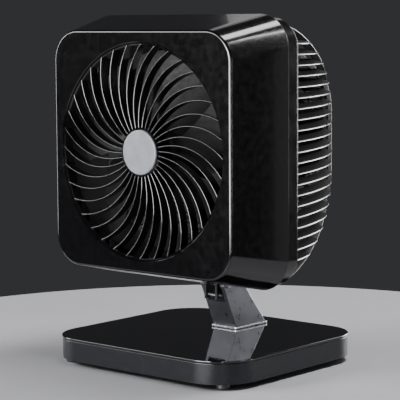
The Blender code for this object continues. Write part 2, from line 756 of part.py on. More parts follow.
def make_motor_mount(steel, bright):
    disc = [circle(0.050, steps=28), circle(0.0140, steps=16)]
    mount = raise_to_head(plate("motor_mount", disc, *MOUNT_Y, "Y", steel))
    strip = rounded_rectangle(0.0680, 0.0090, 0.0088, (0.1100, 0.0), steps=2)
    arms = []
    for number in range(4):
        outline = spun(strip, math.pi / 4 + number * math.pi / 2)
        arms.append(raise_to_head(plate("mount_arm", [outline], *MOUNT_Y, "Y")))
    combine(mount, arms, "UNION")
    holes = mount_screw_holes()
    holes += [along_y("motor_hole", x, z, -0.09, -0.07, SCREW_HOLE) for x, z in motor_screw_places()]
    combine(mount, holes, "DIFFERENCE")
    forwards = Matrix.Rotation(-math.pi / 2, 4, "X")
    for number, (x, z) in enumerate(mount_screw_places(), 1):
        place = Matrix.Translation((x, MOUNT_Y[1] + GAP, HEAD_Z + z)) @ forwards
        screw_fastener(f"mount_screw_{number}", place, bright, shank=(0.0018, 0.0100))
    for number, (x, z) in enumerate(motor_screw_places(), 1):
        place = Matrix.Translation((x, MOUNT_Y[0] - GAP, HEAD_Z + z)) @ forwards.inverted()
        screw_fastener(f"motor_screw_{number}", place, bright, shank=(0.0018, 0.0058))


def make_motor(steel, bright, copper):
    front = MOUNT_Y[1] + GAP
    split = front + 0.0270
    back = split + 0.0260
    wall = 0.0022
    bell_inner = MOTOR_RADIUS - wall
    boss_outer, boss_inner, boss_depth = 0.0135, 0.0113, 0.0090
    shaft_hole = 0.0065
    front_bell = [
        (MOTOR_RADIUS, front),
        (MOTOR_RADIUS, split),
        (bell_inner, split),
        (bell_inner, front + wall),
        (boss_outer, front + wall),
        (boss_outer, front + boss_depth),
        (boss_inner, front + boss_depth),
        (boss_inner, front + wall),
        (shaft_hole, front + wall),
        (shaft_hole, front),
    ]
    bell = head_turned("motor_front_bell", front_bell, steel, steps=28, closed=True)
    ends = (front - 0.01, front + 0.01)
    holes = [along_y("bell_hole", x, z, *ends, SCREW_HOLE) for x, z in motor_screw_places()]
    combine(bell, holes, "DIFFERENCE")
    low = split + GAP
    rear_bell = [
        (MOTOR_RADIUS, low),
        (MOTOR_RADIUS, back - 0.003),
        (MOTOR_RADIUS - 0.003, back),
        (shaft_hole, back),
        (shaft_hole, back - wall),
        (boss_inner, back - wall),
        (boss_inner, back - boss_depth),
        (boss_outer, back - boss_depth),
        (boss_outer, back - wall),
        (bell_inner, back - wall - 0.001),
        (bell_inner, low),
    ]
    head_turned("motor_rear_bell", rear_bell, steel, steps=28, closed=True)

    core_front, core_back = front + 0.0120, back - 0.0120
    stator = [(0.0405, core_front), (0.0405, core_back), (0.0245, core_back), (0.0245, core_front)]
    head_turned("stator_core", stator, copper, steps=28, closed=True)
    bore = SHAFT_RADIUS + GAP
    rotor = [(0.0238, core_front), (0.0238, core_back), (bore, core_back), (bore, core_front)]
    head_turned("rotor_core", rotor, steel, steps=24, closed=True)
    for name, start in (("front_bearing", front + wall + GAP), ("rear_bearing", back - boss_depth + GAP)):
        end = start + 0.0062
        ring = [(0.0110, start), (0.0110, end), (bore, end), (bore, start)]
        head_turned(name, ring, bright, steps=16, closed=True)
    shaft_front, shaft_back = -0.1460, back - 0.0005
    shaft = [(0.0, shaft_front), (SHAFT_RADIUS, shaft_front), (SHAFT_RADIUS, shaft_back), (0.0, shaft_back)]
    head_turned("motor_shaft", shaft, bright, steps=16)
    low = (-0.022, FLANGE_Y[1] + 2 * GAP, HEAD_Z - 0.1812)
    bevel(box("run_capacitor", low, (0.022, -0.0600, HEAD_Z - 0.1618), steel), 0.0015, segments=1)


def blade_ring(radius):
    """The closed section of one blade at a radius: a thin cambered strip, flatter and longer at the tip.

    The blades are broad enough to hide nearly all that is behind them, seen from the front.
    """
    share = (radius - IMPELLER_HUB_RADIUS) / (BLADE_TIP - IMPELLER_HUB_RADIUS)
    pitch = math.radians(47 - 27 * share)
    chord = 0.046 + 0.093 * share
    lean = math.radians(10 * share)
    thickness = 0.0030 - 0.0010 * share
    steps = 5
    front_side, back_side = [], []
    for i in range(steps + 1):
        along = (i / steps - 0.5) * chord
        camber = 0.0060 * (1 - (2 * i / steps - 1) ** 2)
        half = thickness / 2 * (0.35 if i in (0, steps) else 1.0)
        for side, shift in ((front_side, camber + half), (back_side, camber - half)):
            around = along * math.cos(pitch) - shift * math.sin(pitch)
            axial = along * math.sin(pitch) + shift * math.cos(pitch)
            angle = lean + around / radius
            side.append((radius * math.cos(angle), BLADE_Y - axial, radius * math.sin(angle)))
    return front_side + back_side[::-1]


def make_impeller(black, bright):
    hub = head_turned(
        "impeller",
        [
            (0.0044, -0.1400),
            (0.0150, -0.1400),
            (0.0280, -0.1370),
            (IMPELLER_HUB_RADIUS, -0.1300),
            (IMPELLER_HUB_RADIUS, -0.0900),
            (IMPELLER_HUB_RADIUS - 0.003, -0.0900),
            (IMPELLER_HUB_RADIUS - 0.003, -0.1280),
            (0.0100, -0.1320),
            (0.0100, -0.1000),
            (0.0044, -0.1000),
        ],
        black,
        steps=28,
        closed=True,
    )
    root = IMPELLER_HUB_RADIUS - 0.0015
    radii = [root + (BLADE_TIP - root) * i / 4 for i in range(5)]
    blades = []
    for number in range(BLADES):
        turn = Matrix.Rotation(2 * math.pi * number / BLADES, 4, "Y")
        rings = [[turn @ Vector(point) for point in blade_ring(radius)] for radius in radii]
        blades.append(raise_to_head(loft("blade", rings)))
    combine(hub, blades, "UNION")
    nut = [
        (0.0, -0.1505),
        (0.0060, -0.1495),
        (0.0095, -0.1450),
        (0.0100, -0.1403),
        (0.0044, -0.1403),
        (0.0044, -0.1465),
        (0.0, -0.1465),
    ]
    head_turned("impeller_nut", nut, bright, steps=16)


# ---------------------------------------------------------------- rear controls


def make_controls(black, steel, gloss):
    outer_face = HUB_PLATE_Y[1]
    inner_face = HUB_PLATE_Y[0]
    half_width, half_height = 0.0150, 0.0130
    low = (-half_width, 0.1480, KNOB_Z - half_height)
    high = (half_width, inner_face - GAP, KNOB_Z + half_height)
    switch = box("speed_switch", low, high, black)
    bore = along_y("spindle_bore", 0.0, KNOB_Z - HEAD_Z, 0.1560, 0.1800, 0.0033, segments=16)
    combine(switch, [bore], "DIFFERENCE")
    head_turned(
        "switch_spindle",
        [(0.0, 0.1570), (0.0030, 0.1570), (0.0030, 0.1920), (0.0, 0.1920)],
        steel,
        steps=16,
        z=KNOB_Z,
    )
    knob_front, knob_back = outer_face + 0.0008, 0.1970
    knob = head_turned(
        "speed_knob",
        [
            (0.0, 0.1923),
            (0.0033, 0.1923),
            (0.0033, knob_front),
            (0.0175, knob_front),
            (0.0175, knob_front + 0.0030),
            (0.0160, knob_front + 0.0045),
            (0.0150, knob_back - 0.0015),
            (0.0135, knob_back),
            (0.0, knob_back),
        ],
        gloss,
        steps=28,
        z=KNOB_Z,
    )
    low = (-0.0008, knob_back - 0.0008, KNOB_Z + 0.004)
    groove = box("pointer_groove", low, (0.0008, 0.21, KNOB_Z + 0.03))
    combine(knob, [groove], "DIFFERENCE")
    head_turned(
        "cord_gland",
        [
            (0.0059, inner_face - 0.0040),
            (0.0059, outer_face + GAP),
            (0.0090, outer_face + GAP),
            (0.0090, outer_face + 0.0030),
            (0.0070, outer_face + 0.0100),
            (0.0035, outer_face + 0.0100),
            (0.0035, inner_face - 0.0040),
        ],
        black,
        steps=16,
        closed=True,
        z=GLAND_Z,
    )


def parent_to(axis_name, point, names, above=None):
    """An empty on a joint's axis, with the pieces that turn about it."""
    axis = bpy.data.objects.new(axis_name, None)
    axis.empty_display_size = 0.03
    bpy.data.collections[PARTS].objects.link(axis)
    axis.location = point
    bpy.context.view_layer.update()
    if above is not None:
        axis.parent = above
        axis.matrix_parent_inverse = above.matrix_world.inverted()
        bpy.context.view_layer.update()
    for name in names:
        piece = bpy.data.objects[name]
        piece.parent = axis
        piece.matrix_parent_inverse = axis.matrix_world.inverted()
    return axis


def main():
    clear_scene()
    gloss = material("gloss_black_abs", (0.006, 0.006, 0.008), 0.12)
    black = material("satin_black_plastic", (0.016, 0.016, 0.018), 0.35)
    grey = material("satin_grey_paint", (0.10, 0.10, 0.11), 0.38, 0.6)
    steel = material("dark_steel", (0.07, 0.07, 0.075), 0.40, 0.9)
    bright = material("zinc_plated_steel", (0.55, 0.55, 0.56), 0.25, 1.0)
    pale = material("pale_satin_cap", (0.72, 0.73, 0.76), 0.40)
    rubber = material("black_rubber", (0.02, 0.02, 0.02), 0.80)
    nylon = material("black_nylon", (0.03, 0.03, 0.03), 0.50)
    copper = material("copper_winding", (0.45, 0.18, 0.08), 0.40, 0.9)

    make_base(black, gloss, steel, rubber)
    make_arm(grey, steel)
    make_pivot(bright, nylon)
    make_bracket(steel, bright)
    make_housing(gloss, black)
    make_bezel(black, bright)
    make_front_grille(gloss, pale)
    make_rear_grille(black)
    make_motor_mount(steel, bright)
    make_motor(steel, bright, copper)
    make_impeller(black, bright)
    make_controls(black, steel, gloss)

    bpy.context.view_layer.update()
    spinning = ["impeller", "impeller_nut", "motor_shaft", "rotor_core"]
    knob = ["speed_knob", "switch_spindle"]
    standing = ("base_", "ballast_", "foot_", "arm_", "pivot_", "friction_")
    pieces = [obj.name for obj in bpy.data.collections[PARTS].objects]
    head = [name for name in pieces if not name.startswith(standing) and name not in spinning + knob]
    tilt = parent_to("tilt_axis", (0.0, PIVOT_Y, PIVOT_Z), head)
    parent_to("spin_axis", (0.0, FRONT_Y, HEAD_Z), spinning, tilt)
    parent_to("knob_axis", (0.0, HUB_PLATE_Y[1], KNOB_Z), knob, tilt)


main()
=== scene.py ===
"""A square table fan: the visible pieces and their finishes, built round its fixed frame.

Metres, +Z up. The head faces -Y. Every piece is modelled in place, so its object stays at the origin.
"""

import json
import math

import bpy
from mathutils import Matrix, Vector


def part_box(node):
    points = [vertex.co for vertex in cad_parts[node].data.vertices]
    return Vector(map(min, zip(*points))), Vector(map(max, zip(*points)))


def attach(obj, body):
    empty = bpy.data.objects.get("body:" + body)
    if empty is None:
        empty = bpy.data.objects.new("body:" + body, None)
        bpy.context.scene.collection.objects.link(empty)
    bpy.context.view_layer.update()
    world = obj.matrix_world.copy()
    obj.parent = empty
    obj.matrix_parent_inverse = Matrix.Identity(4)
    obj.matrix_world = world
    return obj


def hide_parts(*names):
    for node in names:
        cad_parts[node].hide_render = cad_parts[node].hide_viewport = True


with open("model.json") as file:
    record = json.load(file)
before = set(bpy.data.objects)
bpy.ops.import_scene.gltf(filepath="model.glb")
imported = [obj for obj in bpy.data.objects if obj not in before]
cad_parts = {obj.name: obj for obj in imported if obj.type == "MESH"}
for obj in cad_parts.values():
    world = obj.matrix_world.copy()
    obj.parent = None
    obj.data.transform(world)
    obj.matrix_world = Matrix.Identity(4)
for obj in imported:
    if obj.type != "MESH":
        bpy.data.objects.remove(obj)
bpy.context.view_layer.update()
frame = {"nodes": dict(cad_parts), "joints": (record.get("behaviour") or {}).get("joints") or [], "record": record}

bl_info = {
    "name": "Square table fan",
    "version": (1, 0, 0),
    "blender": (4, 5, 0),
    "location": "View3D > Sidebar > Fan",
    "description": "Models a square table fan piece by piece, with its finishes and a studio",
    "category": "Add Mesh",
}


# ---------------------------------------------------------------- places taken from the frame


def middle_of(node):
    low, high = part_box(node)
    return (low + high) / 2


def joint_place(name):
    found = [joint for joint in frame["joints"] if joint["name"] == name]
    return Vector(found[0]["pos_m"])


SHELL_LOW, SHELL_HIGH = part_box("front_shell")
BAND_LOW, BAND_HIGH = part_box("rear_bezel")
CAGE_LOW, CAGE_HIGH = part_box("rear_grille")
GRILLE_LOW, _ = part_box("front_grille")
CAP_LOW, CAP_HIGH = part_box("centre_cap")
TOP_LOW, TOP_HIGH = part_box("base_top_plate")
TRAY_LOW, TRAY_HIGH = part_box("base_tray")
ARM_LOW, ARM_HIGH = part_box("arm_column")
PLATE_LOW, PLATE_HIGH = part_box("arm_foot_plate")
BRACKET_LOW, BRACKET_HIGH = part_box("tilt_bracket")
KNOB_LOW, KNOB_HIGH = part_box("speed_knob")
_, FAN_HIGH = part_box("impeller")
HEAD = joint_place("impeller_spin")
HEAD_Z = HEAD.z
PIVOT = joint_place("head_tilt")
KNOB_Z = joint_place("knob_turn").z
STAND_Y = middle_of("base_top_plate").y


# ---------------------------------------------------------------- settings shown in the sidebar


class FanSettings(bpy.types.PropertyGroup):
    vanes: bpy.props.IntProperty(
        name="Vanes", description="Swept vanes in the front grille", default=36, min=12
    )
    vane_sweep: bpy.props.FloatProperty(
        name="Vane sweep", description="How far a vane turns on its way out",
        default=math.radians(25), subtype="ANGLE"
    )
    vane_thickness: bpy.props.FloatProperty(
        name="Vane thickness", description="Thickness of a vane", default=0.0017, unit="LENGTH"
    )
    opening_radius: bpy.props.FloatProperty(
        name="Opening radius", description="Radius of the air opening", default=0.155, unit="LENGTH"
    )
    fins: bpy.props.IntProperty(name="Fins", description="Level fins in the rear cage", default=21, min=5)
    fin_pitch: bpy.props.FloatProperty(
        name="Fin pitch", description="Height from one fin to the next", default=0.0152, unit="LENGTH"
    )
    fin_thickness: bpy.props.FloatProperty(
        name="Fin thickness", description="Thickness of a fin", default=0.0022, unit="LENGTH"
    )
    fin_slope: bpy.props.FloatProperty(
        name="Fin slope", description="How far a fin falls outwards",
        default=math.radians(20), subtype="ANGLE"
    )
    blades: bpy.props.IntProperty(name="Blades", description="Blades of the impeller", default=7, min=3)
    rim_fillet: bpy.props.FloatProperty(
        name="Rim fillet", description="Rounding of the housing's front rim", default=0.0032, unit="LENGTH"
    )
    gloss_colour: bpy.props.StringProperty(
        name="Gloss colour", description="Colour of the housing, as a hex value", default="0c0c0f"
    )
    satin_colour: bpy.props.StringProperty(
        name="Satin colour", description="Colour of the cage and band, as a hex value", default="17171a"
    )
    fin_colour: bpy.props.StringProperty(
        name="Fin colour", description="Colour of the cage's fins, as a hex value", default="151517"
    )
    base_colour: bpy.props.StringProperty(
        name="Base colour", description="Colour of the base's side band, as a hex value", default="24252a"
    )
    arm_colour: bpy.props.StringProperty(
        name="Arm colour", description="Colour of the arm's paint, as a hex value", default="85868e"
    )
    cap_colour: bpy.props.StringProperty(
        name="Cap colour", description="Colour of the centre cap, as a hex value", default="e2e3ec"
    )
    floor_colour: bpy.props.StringProperty(
        name="Floor colour", description="Colour of the studio floor, as a hex value", default="d8d8dc"
    )
    key_radiance: bpy.props.FloatProperty(
        name="Key light", description="Brightness of the overhead soft box", default=14.0
    )


# ---------------------------------------------------------------- modelling helpers


def only(obj):
    """Selects one object alone and makes it the active one."""
    bpy.ops.object.select_all(action="DESELECT")
    obj.select_set(True)
    bpy.context.view_layer.objects.active = obj


def named(name):
    obj = bpy.context.object
    obj.name = name
    obj.data.name = name
    return obj


def move_points(obj, points):
    """Puts each corner of a new primitive on its own point, and its object back at the origin."""
    obj.matrix_world = Matrix.Identity(4)
    for vertex, point in zip(obj.data.vertices, points):
        vertex.co = point
    return obj


def outline(name, points, filled=True):
    """A closed line or face through these points, from a circle with as many corners."""
    bpy.ops.object.select_all(action="DESELECT")
    fill = "NGON" if filled else "NOTHING"
    bpy.ops.mesh.primitive_circle_add(vertices=len(points), radius=0.1, fill_type=fill)
    return move_points(named(name), points)


def face_outwards():
    bpy.ops.mesh.select_all(action="SELECT")
    bpy.ops.mesh.normals_make_consistent(inside=False)


def slab(name, points, push):
    """A flat outline extruded by a push."""
    obj = outline(name, points)
    bpy.ops.object.mode_set(mode="EDIT")
    bpy.ops.mesh.select_all(action="SELECT")
    bpy.ops.mesh.extrude_region_move(TRANSFORM_OT_translate={"value": push})
    face_outwards()
    bpy.ops.object.mode_set(mode="OBJECT")
    return obj


def hoop(name, outer, inner, push):
    """The flat band between two closed lines with as many points each, extruded by a push."""
    obj = outline(name, outer, filled=False)
    hole = outline(name + "_hole", inner, filled=False)
    join(obj, [hole])
    bpy.ops.object.mode_set(mode="EDIT")
    bpy.ops.mesh.select_all(action="SELECT")
    bpy.ops.mesh.bridge_edge_loops()
    bpy.ops.mesh.select_all(action="SELECT")
    bpy.ops.mesh.extrude_region_move(TRANSFORM_OT_translate={"value": push})
    face_outwards()
    bpy.ops.object.mode_set(mode="OBJECT")
    return obj


def ribbon(name, one_side, other_side, push):
    """A strip between two open lines with as many points each, extruded by a push."""
    bpy.ops.object.select_all(action="DESELECT")
    bpy.ops.mesh.primitive_grid_add(x_subdivisions=len(one_side) - 1, y_subdivisions=1, size=0.1)
    obj = move_points(named(name), list(one_side) + list(other_side))
    bpy.ops.object.mode_set(mode="EDIT")
    bpy.ops.mesh.select_all(action="SELECT")
    bpy.ops.mesh.extrude_region_move(TRANSFORM_OT_translate={"value": push})
    face_outwards()
    bpy.ops.object.mode_set(mode="OBJECT")
    return obj


AXES = {
    "X": (Vector((1, 0, 0)), Vector((0, 0, 1))),
    "Y": (Vector((0, 1, 0)), Vector((1, 0, 0))),
    "Z": (Vector((0, 0, 1)), Vector((1, 0, 0))),
}


def turned(name, profile, centre=(0.0, 0.0, 0.0), axis="Y", steps=64):
    """A turned piece, from (radius, place along the axis) points. Ends on the axis close as it spins."""
    along, across = AXES[axis]
    centre = Vector(centre)
    points = [centre + across * radius + along * (place - centre.dot(along)) for radius, place in profile]
    obj = outline(name, points, filled=False)
    on_axis = [index for index, (radius, _) in enumerate(profile) if radius < 1e-7]
    bpy.ops.object.mode_set(mode="EDIT")
    bpy.ops.mesh.select_all(action="DESELECT")
    bpy.ops.object.mode_set(mode="OBJECT")
    for edge in obj.data.edges:
        edge.select = all(index in on_axis for index in edge.vertices)
    bpy.ops.object.mode_set(mode="EDIT")
    bpy.ops.mesh.select_mode(type="EDGE")
    bpy.ops.mesh.delete(type="EDGE")
    bpy.ops.mesh.select_mode(type="VERT")
    bpy.ops.mesh.select_all(action="SELECT")
    bpy.ops.mesh.spin(steps=steps, angle=2 * math.pi, center=centre, axis=along)
    bpy.ops.mesh.select_all(action="SELECT")
    bpy.ops.mesh.remove_doubles(threshold=1e-6)
    face_outwards()
    bpy.ops.object.mode_set(mode="OBJECT")
    return obj


def rod(name, start, end, radius, sides=24):
    """A cylinder between two points, with its place in its mesh."""
    start, end = Vector(start), Vector(end)
    turn = Vector((0, 0, 1)).rotation_difference(end - start).to_euler()
    bpy.ops.object.select_all(action="DESELECT")
    bpy.ops.mesh.primitive_cylinder_add(
        vertices=sides, radius=radius, depth=(end - start).length, location=(start + end) / 2, rotation=turn
    )
    bpy.ops.object.transform_apply(location=True, rotation=True, scale=True)
    return named(name)


def block(name, low, high):
    """A box between two corners, with its place in its mesh."""
    low, high = Vector(low), Vector(high)
    bpy.ops.object.select_all(action="DESELECT")
    bpy.ops.mesh.primitive_cube_add(size=1.0, location=(low + high) / 2, scale=high - low)
    bpy.ops.object.transform_apply(location=True, rotation=True, scale=True)
    return named(name)


def apply(obj, kind, **settings):
    """Adds one modifier and applies it."""
    only(obj)
    modifier = obj.modifiers.new(kind.lower(), kind)
    for key, value in settings.items():
        setattr(modifier, key, value)
    bpy.ops.object.modifier_apply(modifier=modifier.name)
    return obj


def round_edges(obj, width, segments=3, angle=35):
    return apply(
        obj, "BEVEL", width=width, segments=segments, limit_method="ANGLE", angle_limit=math.radians(angle),
        use_clamp_overlap=True
    )


def cut(obj, *cutters):
    for cutter in cutters:
        apply(obj, "BOOLEAN", operation="DIFFERENCE", solver="EXACT", object=cutter)
        bpy.data.objects.remove(cutter)
    return obj


def unite(obj, *others):
    for other in others:
        apply(obj, "BOOLEAN", operation="UNION", solver="EXACT", object=other)
        bpy.data.objects.remove(other)
    return obj


def join(obj, others):
    """Several shapes as one piece."""
    bpy.ops.object.select_all(action="DESELECT")
    for other in others:
        other.select_set(True)
    obj.select_set(True)
    bpy.context.view_layer.objects.active = obj
    bpy.ops.object.join()
    return obj


def copy_turned(obj, name, angle, axis, centre):
    """A copy with a mesh of its own, turned about an axis through a point."""
    made = obj.copy()
    made.data = obj.data.copy()
    made.name = name
    bpy.context.scene.collection.objects.link(made)
    turn = Matrix.Rotation(angle, 4, axis)
    made.data.transform(Matrix.Translation(centre) @ turn @ Matrix.Translation(-Vector(centre)))
    return made


def finish(obj, material, body, slot, *nodes, angle=40):
    """Shades a piece, gives it its finish, and fastens it to its body in place of the frame's nodes."""
    only(obj)
    bpy.ops.object.shade_smooth_by_angle(angle=math.radians(angle))
    apply(obj, "WEIGHTED_NORMAL", keep_sharp=True, mode="FACE_AREA", weight=50)
    if material is not None:
        obj.data.materials.clear()
        obj.data.materials.append(material)
    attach(obj, body)
    if nodes:
        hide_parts(*nodes)
    return obj


# ---------------------------------------------------------------- outlines


def arc(centre, radius, start, end, steps):
    """Points on an arc between two angles in degrees, both ends included."""
    angles = [math.radians(start + (end - start) * i / steps) for i in range(steps + 1)]
    return [(centre[0] + radius * math.cos(a), centre[1] + radius * math.sin(a)) for a in angles]


def rounded(half_a, half_b, radius, centre=(0.0, 0.0), steps=20):
    """A rectangle with round corners."""
    points = []
    for sign_a, sign_b, start in ((1, 1, 0), (-1, 1, 90), (-1, -1, 180), (1, -1, 270)):
        corner = (centre[0] + sign_a * (half_a - radius), centre[1] + sign_b * (half_b - radius))
        points += arc(corner, radius, start, start + 90, steps)
    return points


def facing(points, y):
    """(x, z) points about the head's axis, as points in a plane that faces the front."""
    return [Vector((a, y, HEAD_Z + b)) for a, b in points]


def level(points, z):
    return [Vector((a, b, z)) for a, b in points]


def sideways(points, x):
    return [Vector((x, a, b)) for a, b in points]


# ---------------------------------------------------------------- finishes


def linear(hex_colour):
    """An sRGB hex value as linear RGBA."""
    parts = [int(hex_colour[i : i + 2], 16) / 255 for i in (0, 2, 4)]
    return tuple(p / 12.92 if p <= 0.04045 else ((p + 0.055) / 1.055) ** 2.4 for p in parts) + (1.0,)


def add_node(tree, kind, settings=None, sockets=None):
    """Adds a node, sets its own values, and fills its sockets or links them to other nodes' outputs."""
    node = tree.nodes.new(kind)
    for key, value in (settings or {}).items():
        setattr(node, key, value)
    for key, value in (sockets or {}).items():
        if isinstance(value, bpy.types.NodeSocket):
            tree.links.new(value, node.inputs[key])
        else:
            node.inputs[key].default_value = value
    return node


def per_mm(size_mm):
    """A pattern's scale for features of this size."""
    return 1000.0 / size_mm


def start_material(name, **constants):
    """A Principled material with its constant values set on the shader itself, and its object coordinates."""
    made = bpy.data.materials.new(name)
    made.use_nodes = True
    tree = made.node_tree
    shader = tree.nodes["Principled BSDF"]
    for key, value in constants.items():
        shader.inputs[key.replace("_", " ")].default_value = value
    place = add_node(tree, "ShaderNodeTexCoord").outputs["Object"]
    return made, tree, shader, place


def varied(tree, place, size_mm, low, high, detail=4.0, stretch=None):
    """Noise of this grain size, spread between two values. A stretch draws it out along an axis."""
    if stretch is not None:
        drawn_out = add_node(tree, "ShaderNodeMapping", None, {"Vector": place, "Scale": stretch})
        place = drawn_out.outputs["Vector"]
    noise = add_node(
        tree, "ShaderNodeTexNoise", None, {"Vector": place, "Scale": per_mm(size_mm), "Detail": detail}
    )
    spread = add_node(
        tree, "ShaderNodeMapRange", None,
        {"Value": noise.outputs["Fac"], "From Min": 0.3, "From Max": 0.7, "To Min": low, "To Max": high}
    )
    return spread.outputs["Result"]


def tinted(tree, amount, dark, light):
    """A colour between two, by this amount."""
    mix = add_node(tree, "ShaderNodeMix", {"data_type": "RGBA"}, {"Factor": amount})
    for socket, colour in zip([s for s in mix.inputs if s.type == "RGBA"], (dark, light)):
        socket.default_value = colour
    return [s for s in mix.outputs if s.type == "RGBA"][0]


def bumped(tree, shader, height, depth_mm, before=None):
    """A bump of this depth in millimetres, over another one where there is one."""
    sockets = {"Height": height, "Strength": 1.0, "Distance": depth_mm / 1000}
    if before is not None:
        sockets["Normal"] = before
    bump = add_node(tree, "ShaderNodeBump", None, sockets)
    tree.links.new(bump.outputs["Normal"], shader.inputs["Normal"])
    return bump.outputs["Normal"]


def shade(colour, factor):
    return tuple(part * factor for part in colour[:3]) + (1.0,)


def gloss_abs(name, colour, roughness=(0.13, 0.19)):
    """Polished moulded ABS: near black and mirror-like, with a faint moulded swell and fine hairlines."""
    made, tree, shader, place = start_material(name, IOR=1.53, Coat_Weight=0.3, Coat_Roughness=0.04)
    tone = tinted(tree, varied(tree, place, 60, 0.0, 1.0), shade(colour, 0.8), shade(colour, 1.2))
    tree.links.new(tone, shader.inputs["Base Color"])
    tree.links.new(varied(tree, place, 9, *roughness), shader.inputs["Roughness"])
    swell = bumped(tree, shader, varied(tree, place, 60, 0.0, 1.0, detail=1.0), 0.03)
    hairlines = varied(tree, place, 1.2, 0.0, 1.0, detail=6.0, stretch=(1.0, 1.0, 0.08))
    bumped(tree, shader, hairlines, 0.0015, swell)
    return made


def satin_plastic(name, colour, roughness=(0.30, 0.42), grain_mm=0.9, depth_mm=0.012):
    """Spark-eroded moulded plastic: a fine even grain that breaks up the light to a satin sheen."""
    made, tree, shader, place = start_material(name, IOR=1.50)
    tone = tinted(tree, varied(tree, place, 25, 0.0, 1.0), shade(colour, 0.82), shade(colour, 1.18))
    tree.links.new(tone, shader.inputs["Base Color"])
    tree.links.new(varied(tree, place, 6, *roughness), shader.inputs["Roughness"])
    grain = add_node(
        tree, "ShaderNodeTexVoronoi", {"feature": "SMOOTH_F1"}, {"Vector": place, "Scale": per_mm(grain_mm)}
    )
    bumped(tree, shader, grain.outputs["Distance"], depth_mm)
    return made


def sleek_plastic(name, colour, roughness=(0.22, 0.32)):
    """Moulded plastic from a smooth tool: an even half gloss, with slow flow marks and a very fine grain."""
    made, tree, shader, place = start_material(name, IOR=1.50, Coat_Weight=0.2, Coat_Roughness=0.12)
    tone = tinted(tree, varied(tree, place, 30, 0.0, 1.0), shade(colour, 0.85), shade(colour, 1.15))
    tree.links.new(tone, shader.inputs["Base Color"])
    tree.links.new(varied(tree, place, 18, *roughness), shader.inputs["Roughness"])
    bumped(tree, shader, varied(tree, place, 0.8, 0.0, 1.0, detail=2.0), 0.001)
    return made


def matt_plastic(name, colour, roughness=(0.55, 0.72), level=0.25):
    """Dull black moulding: dusty, with a fine grain and hardly any sheen. Made near black, it is painted shade on
    the pieces inside the head.
    """
    made, tree, shader, place = start_material(name, Specular_IOR_Level=level)
    tone = tinted(tree, varied(tree, place, 12, 0.0, 1.0), shade(colour, 0.7), shade(colour, 1.5))
    tree.links.new(tone, shader.inputs["Base Color"])
    tree.links.new(varied(tree, place, 5, *roughness), shader.inputs["Roughness"])
    bumped(tree, shader, varied(tree, place, 0.7, 0.0, 1.0, detail=2.0), 0.006)
    return made


def paint(name, colour, metallic, roughness=(0.28, 0.38), flake=0.12):
    """Baked enamel with a metal flake: satin, with orange peel a few millimetres wide and fine specks."""
    made, tree, shader, place = start_material(name, Metallic=metallic, Coat_Weight=0.15, Coat_Roughness=0.25)
    specks = varied(tree, place, 0.7, 0.0, 1.0, detail=2.0)
    tone = tinted(tree, specks, shade(colour, 1 - flake), shade(colour, 1 + flake))
    tree.links.new(tone, shader.inputs["Base Color"])
    tree.links.new(varied(tree, place, 14, *roughness), shader.inputs["Roughness"])
    peel = bumped(tree, shader, varied(tree, place, 3.5, 0.0, 1.0, detail=2.0), 0.003)
    bumped(tree, shader, specks, 0.002, peel)
    return made


def drawn_steel(name, colour, roughness=(0.22, 0.36), stretch=(0.05, 1.0, 1.0)):
    """Rolled or plated steel: metallic, with fine drawing lines along the sheet and a mottled plating."""
    made, tree, shader, place = start_material(name, Metallic=1.0)
    tone = tinted(tree, varied(tree, place, 7, 0.0, 1.0), shade(colour, 0.8), shade(colour, 1.15))
    tree.links.new(tone, shader.inputs["Base Color"])
    lines = varied(tree, place, 0.8, 0.0, 1.0, detail=5.0, stretch=stretch)
    tree.links.new(varied(tree, place, 2.5, *roughness), shader.inputs["Roughness"])
    bumped(tree, shader, lines, 0.004)
    return made


def rubber(name, colour):
    """Moulded rubber: dull, with a powdery bloom and a fine grain."""
    made, tree, shader, place = start_material(name, IOR=1.52)
    tone = tinted(tree, varied(tree, place, 5, 0.0, 1.0), colour, shade(colour, 1.8))
    tree.links.new(tone, shader.inputs["Base Color"])
    tree.links.new(varied(tree, place, 2, 0.45, 0.7), shader.inputs["Roughness"])
    bumped(tree, shader, varied(tree, place, 0.6, 0.0, 1.0), 0.02)
    return made


def winding(name, colour):
    """Lacquered copper wire in layers: fine strands, drawn three times too coarse so that they show."""
    made, tree, shader, place = start_material(name, Metallic=1.0, Coat_Weight=0.6, Coat_Roughness=0.15)
    strands = add_node(
        tree, "ShaderNodeTexWave", {"wave_type": "BANDS", "bands_direction": "Y"},
        {"Vector": place, "Scale": per_mm(1.5) / 20, "Distortion": 1.0}
    )
    tone = tinted(tree, strands.outputs["Fac"], shade(colour, 0.45), colour)
    tree.links.new(tone, shader.inputs["Base Color"])
    tree.links.new(varied(tree, place, 3, 0.25, 0.45), shader.inputs["Roughness"])
    bumped(tree, shader, strands.outputs["Fac"], 0.25)
    return made


FINISHES = {}


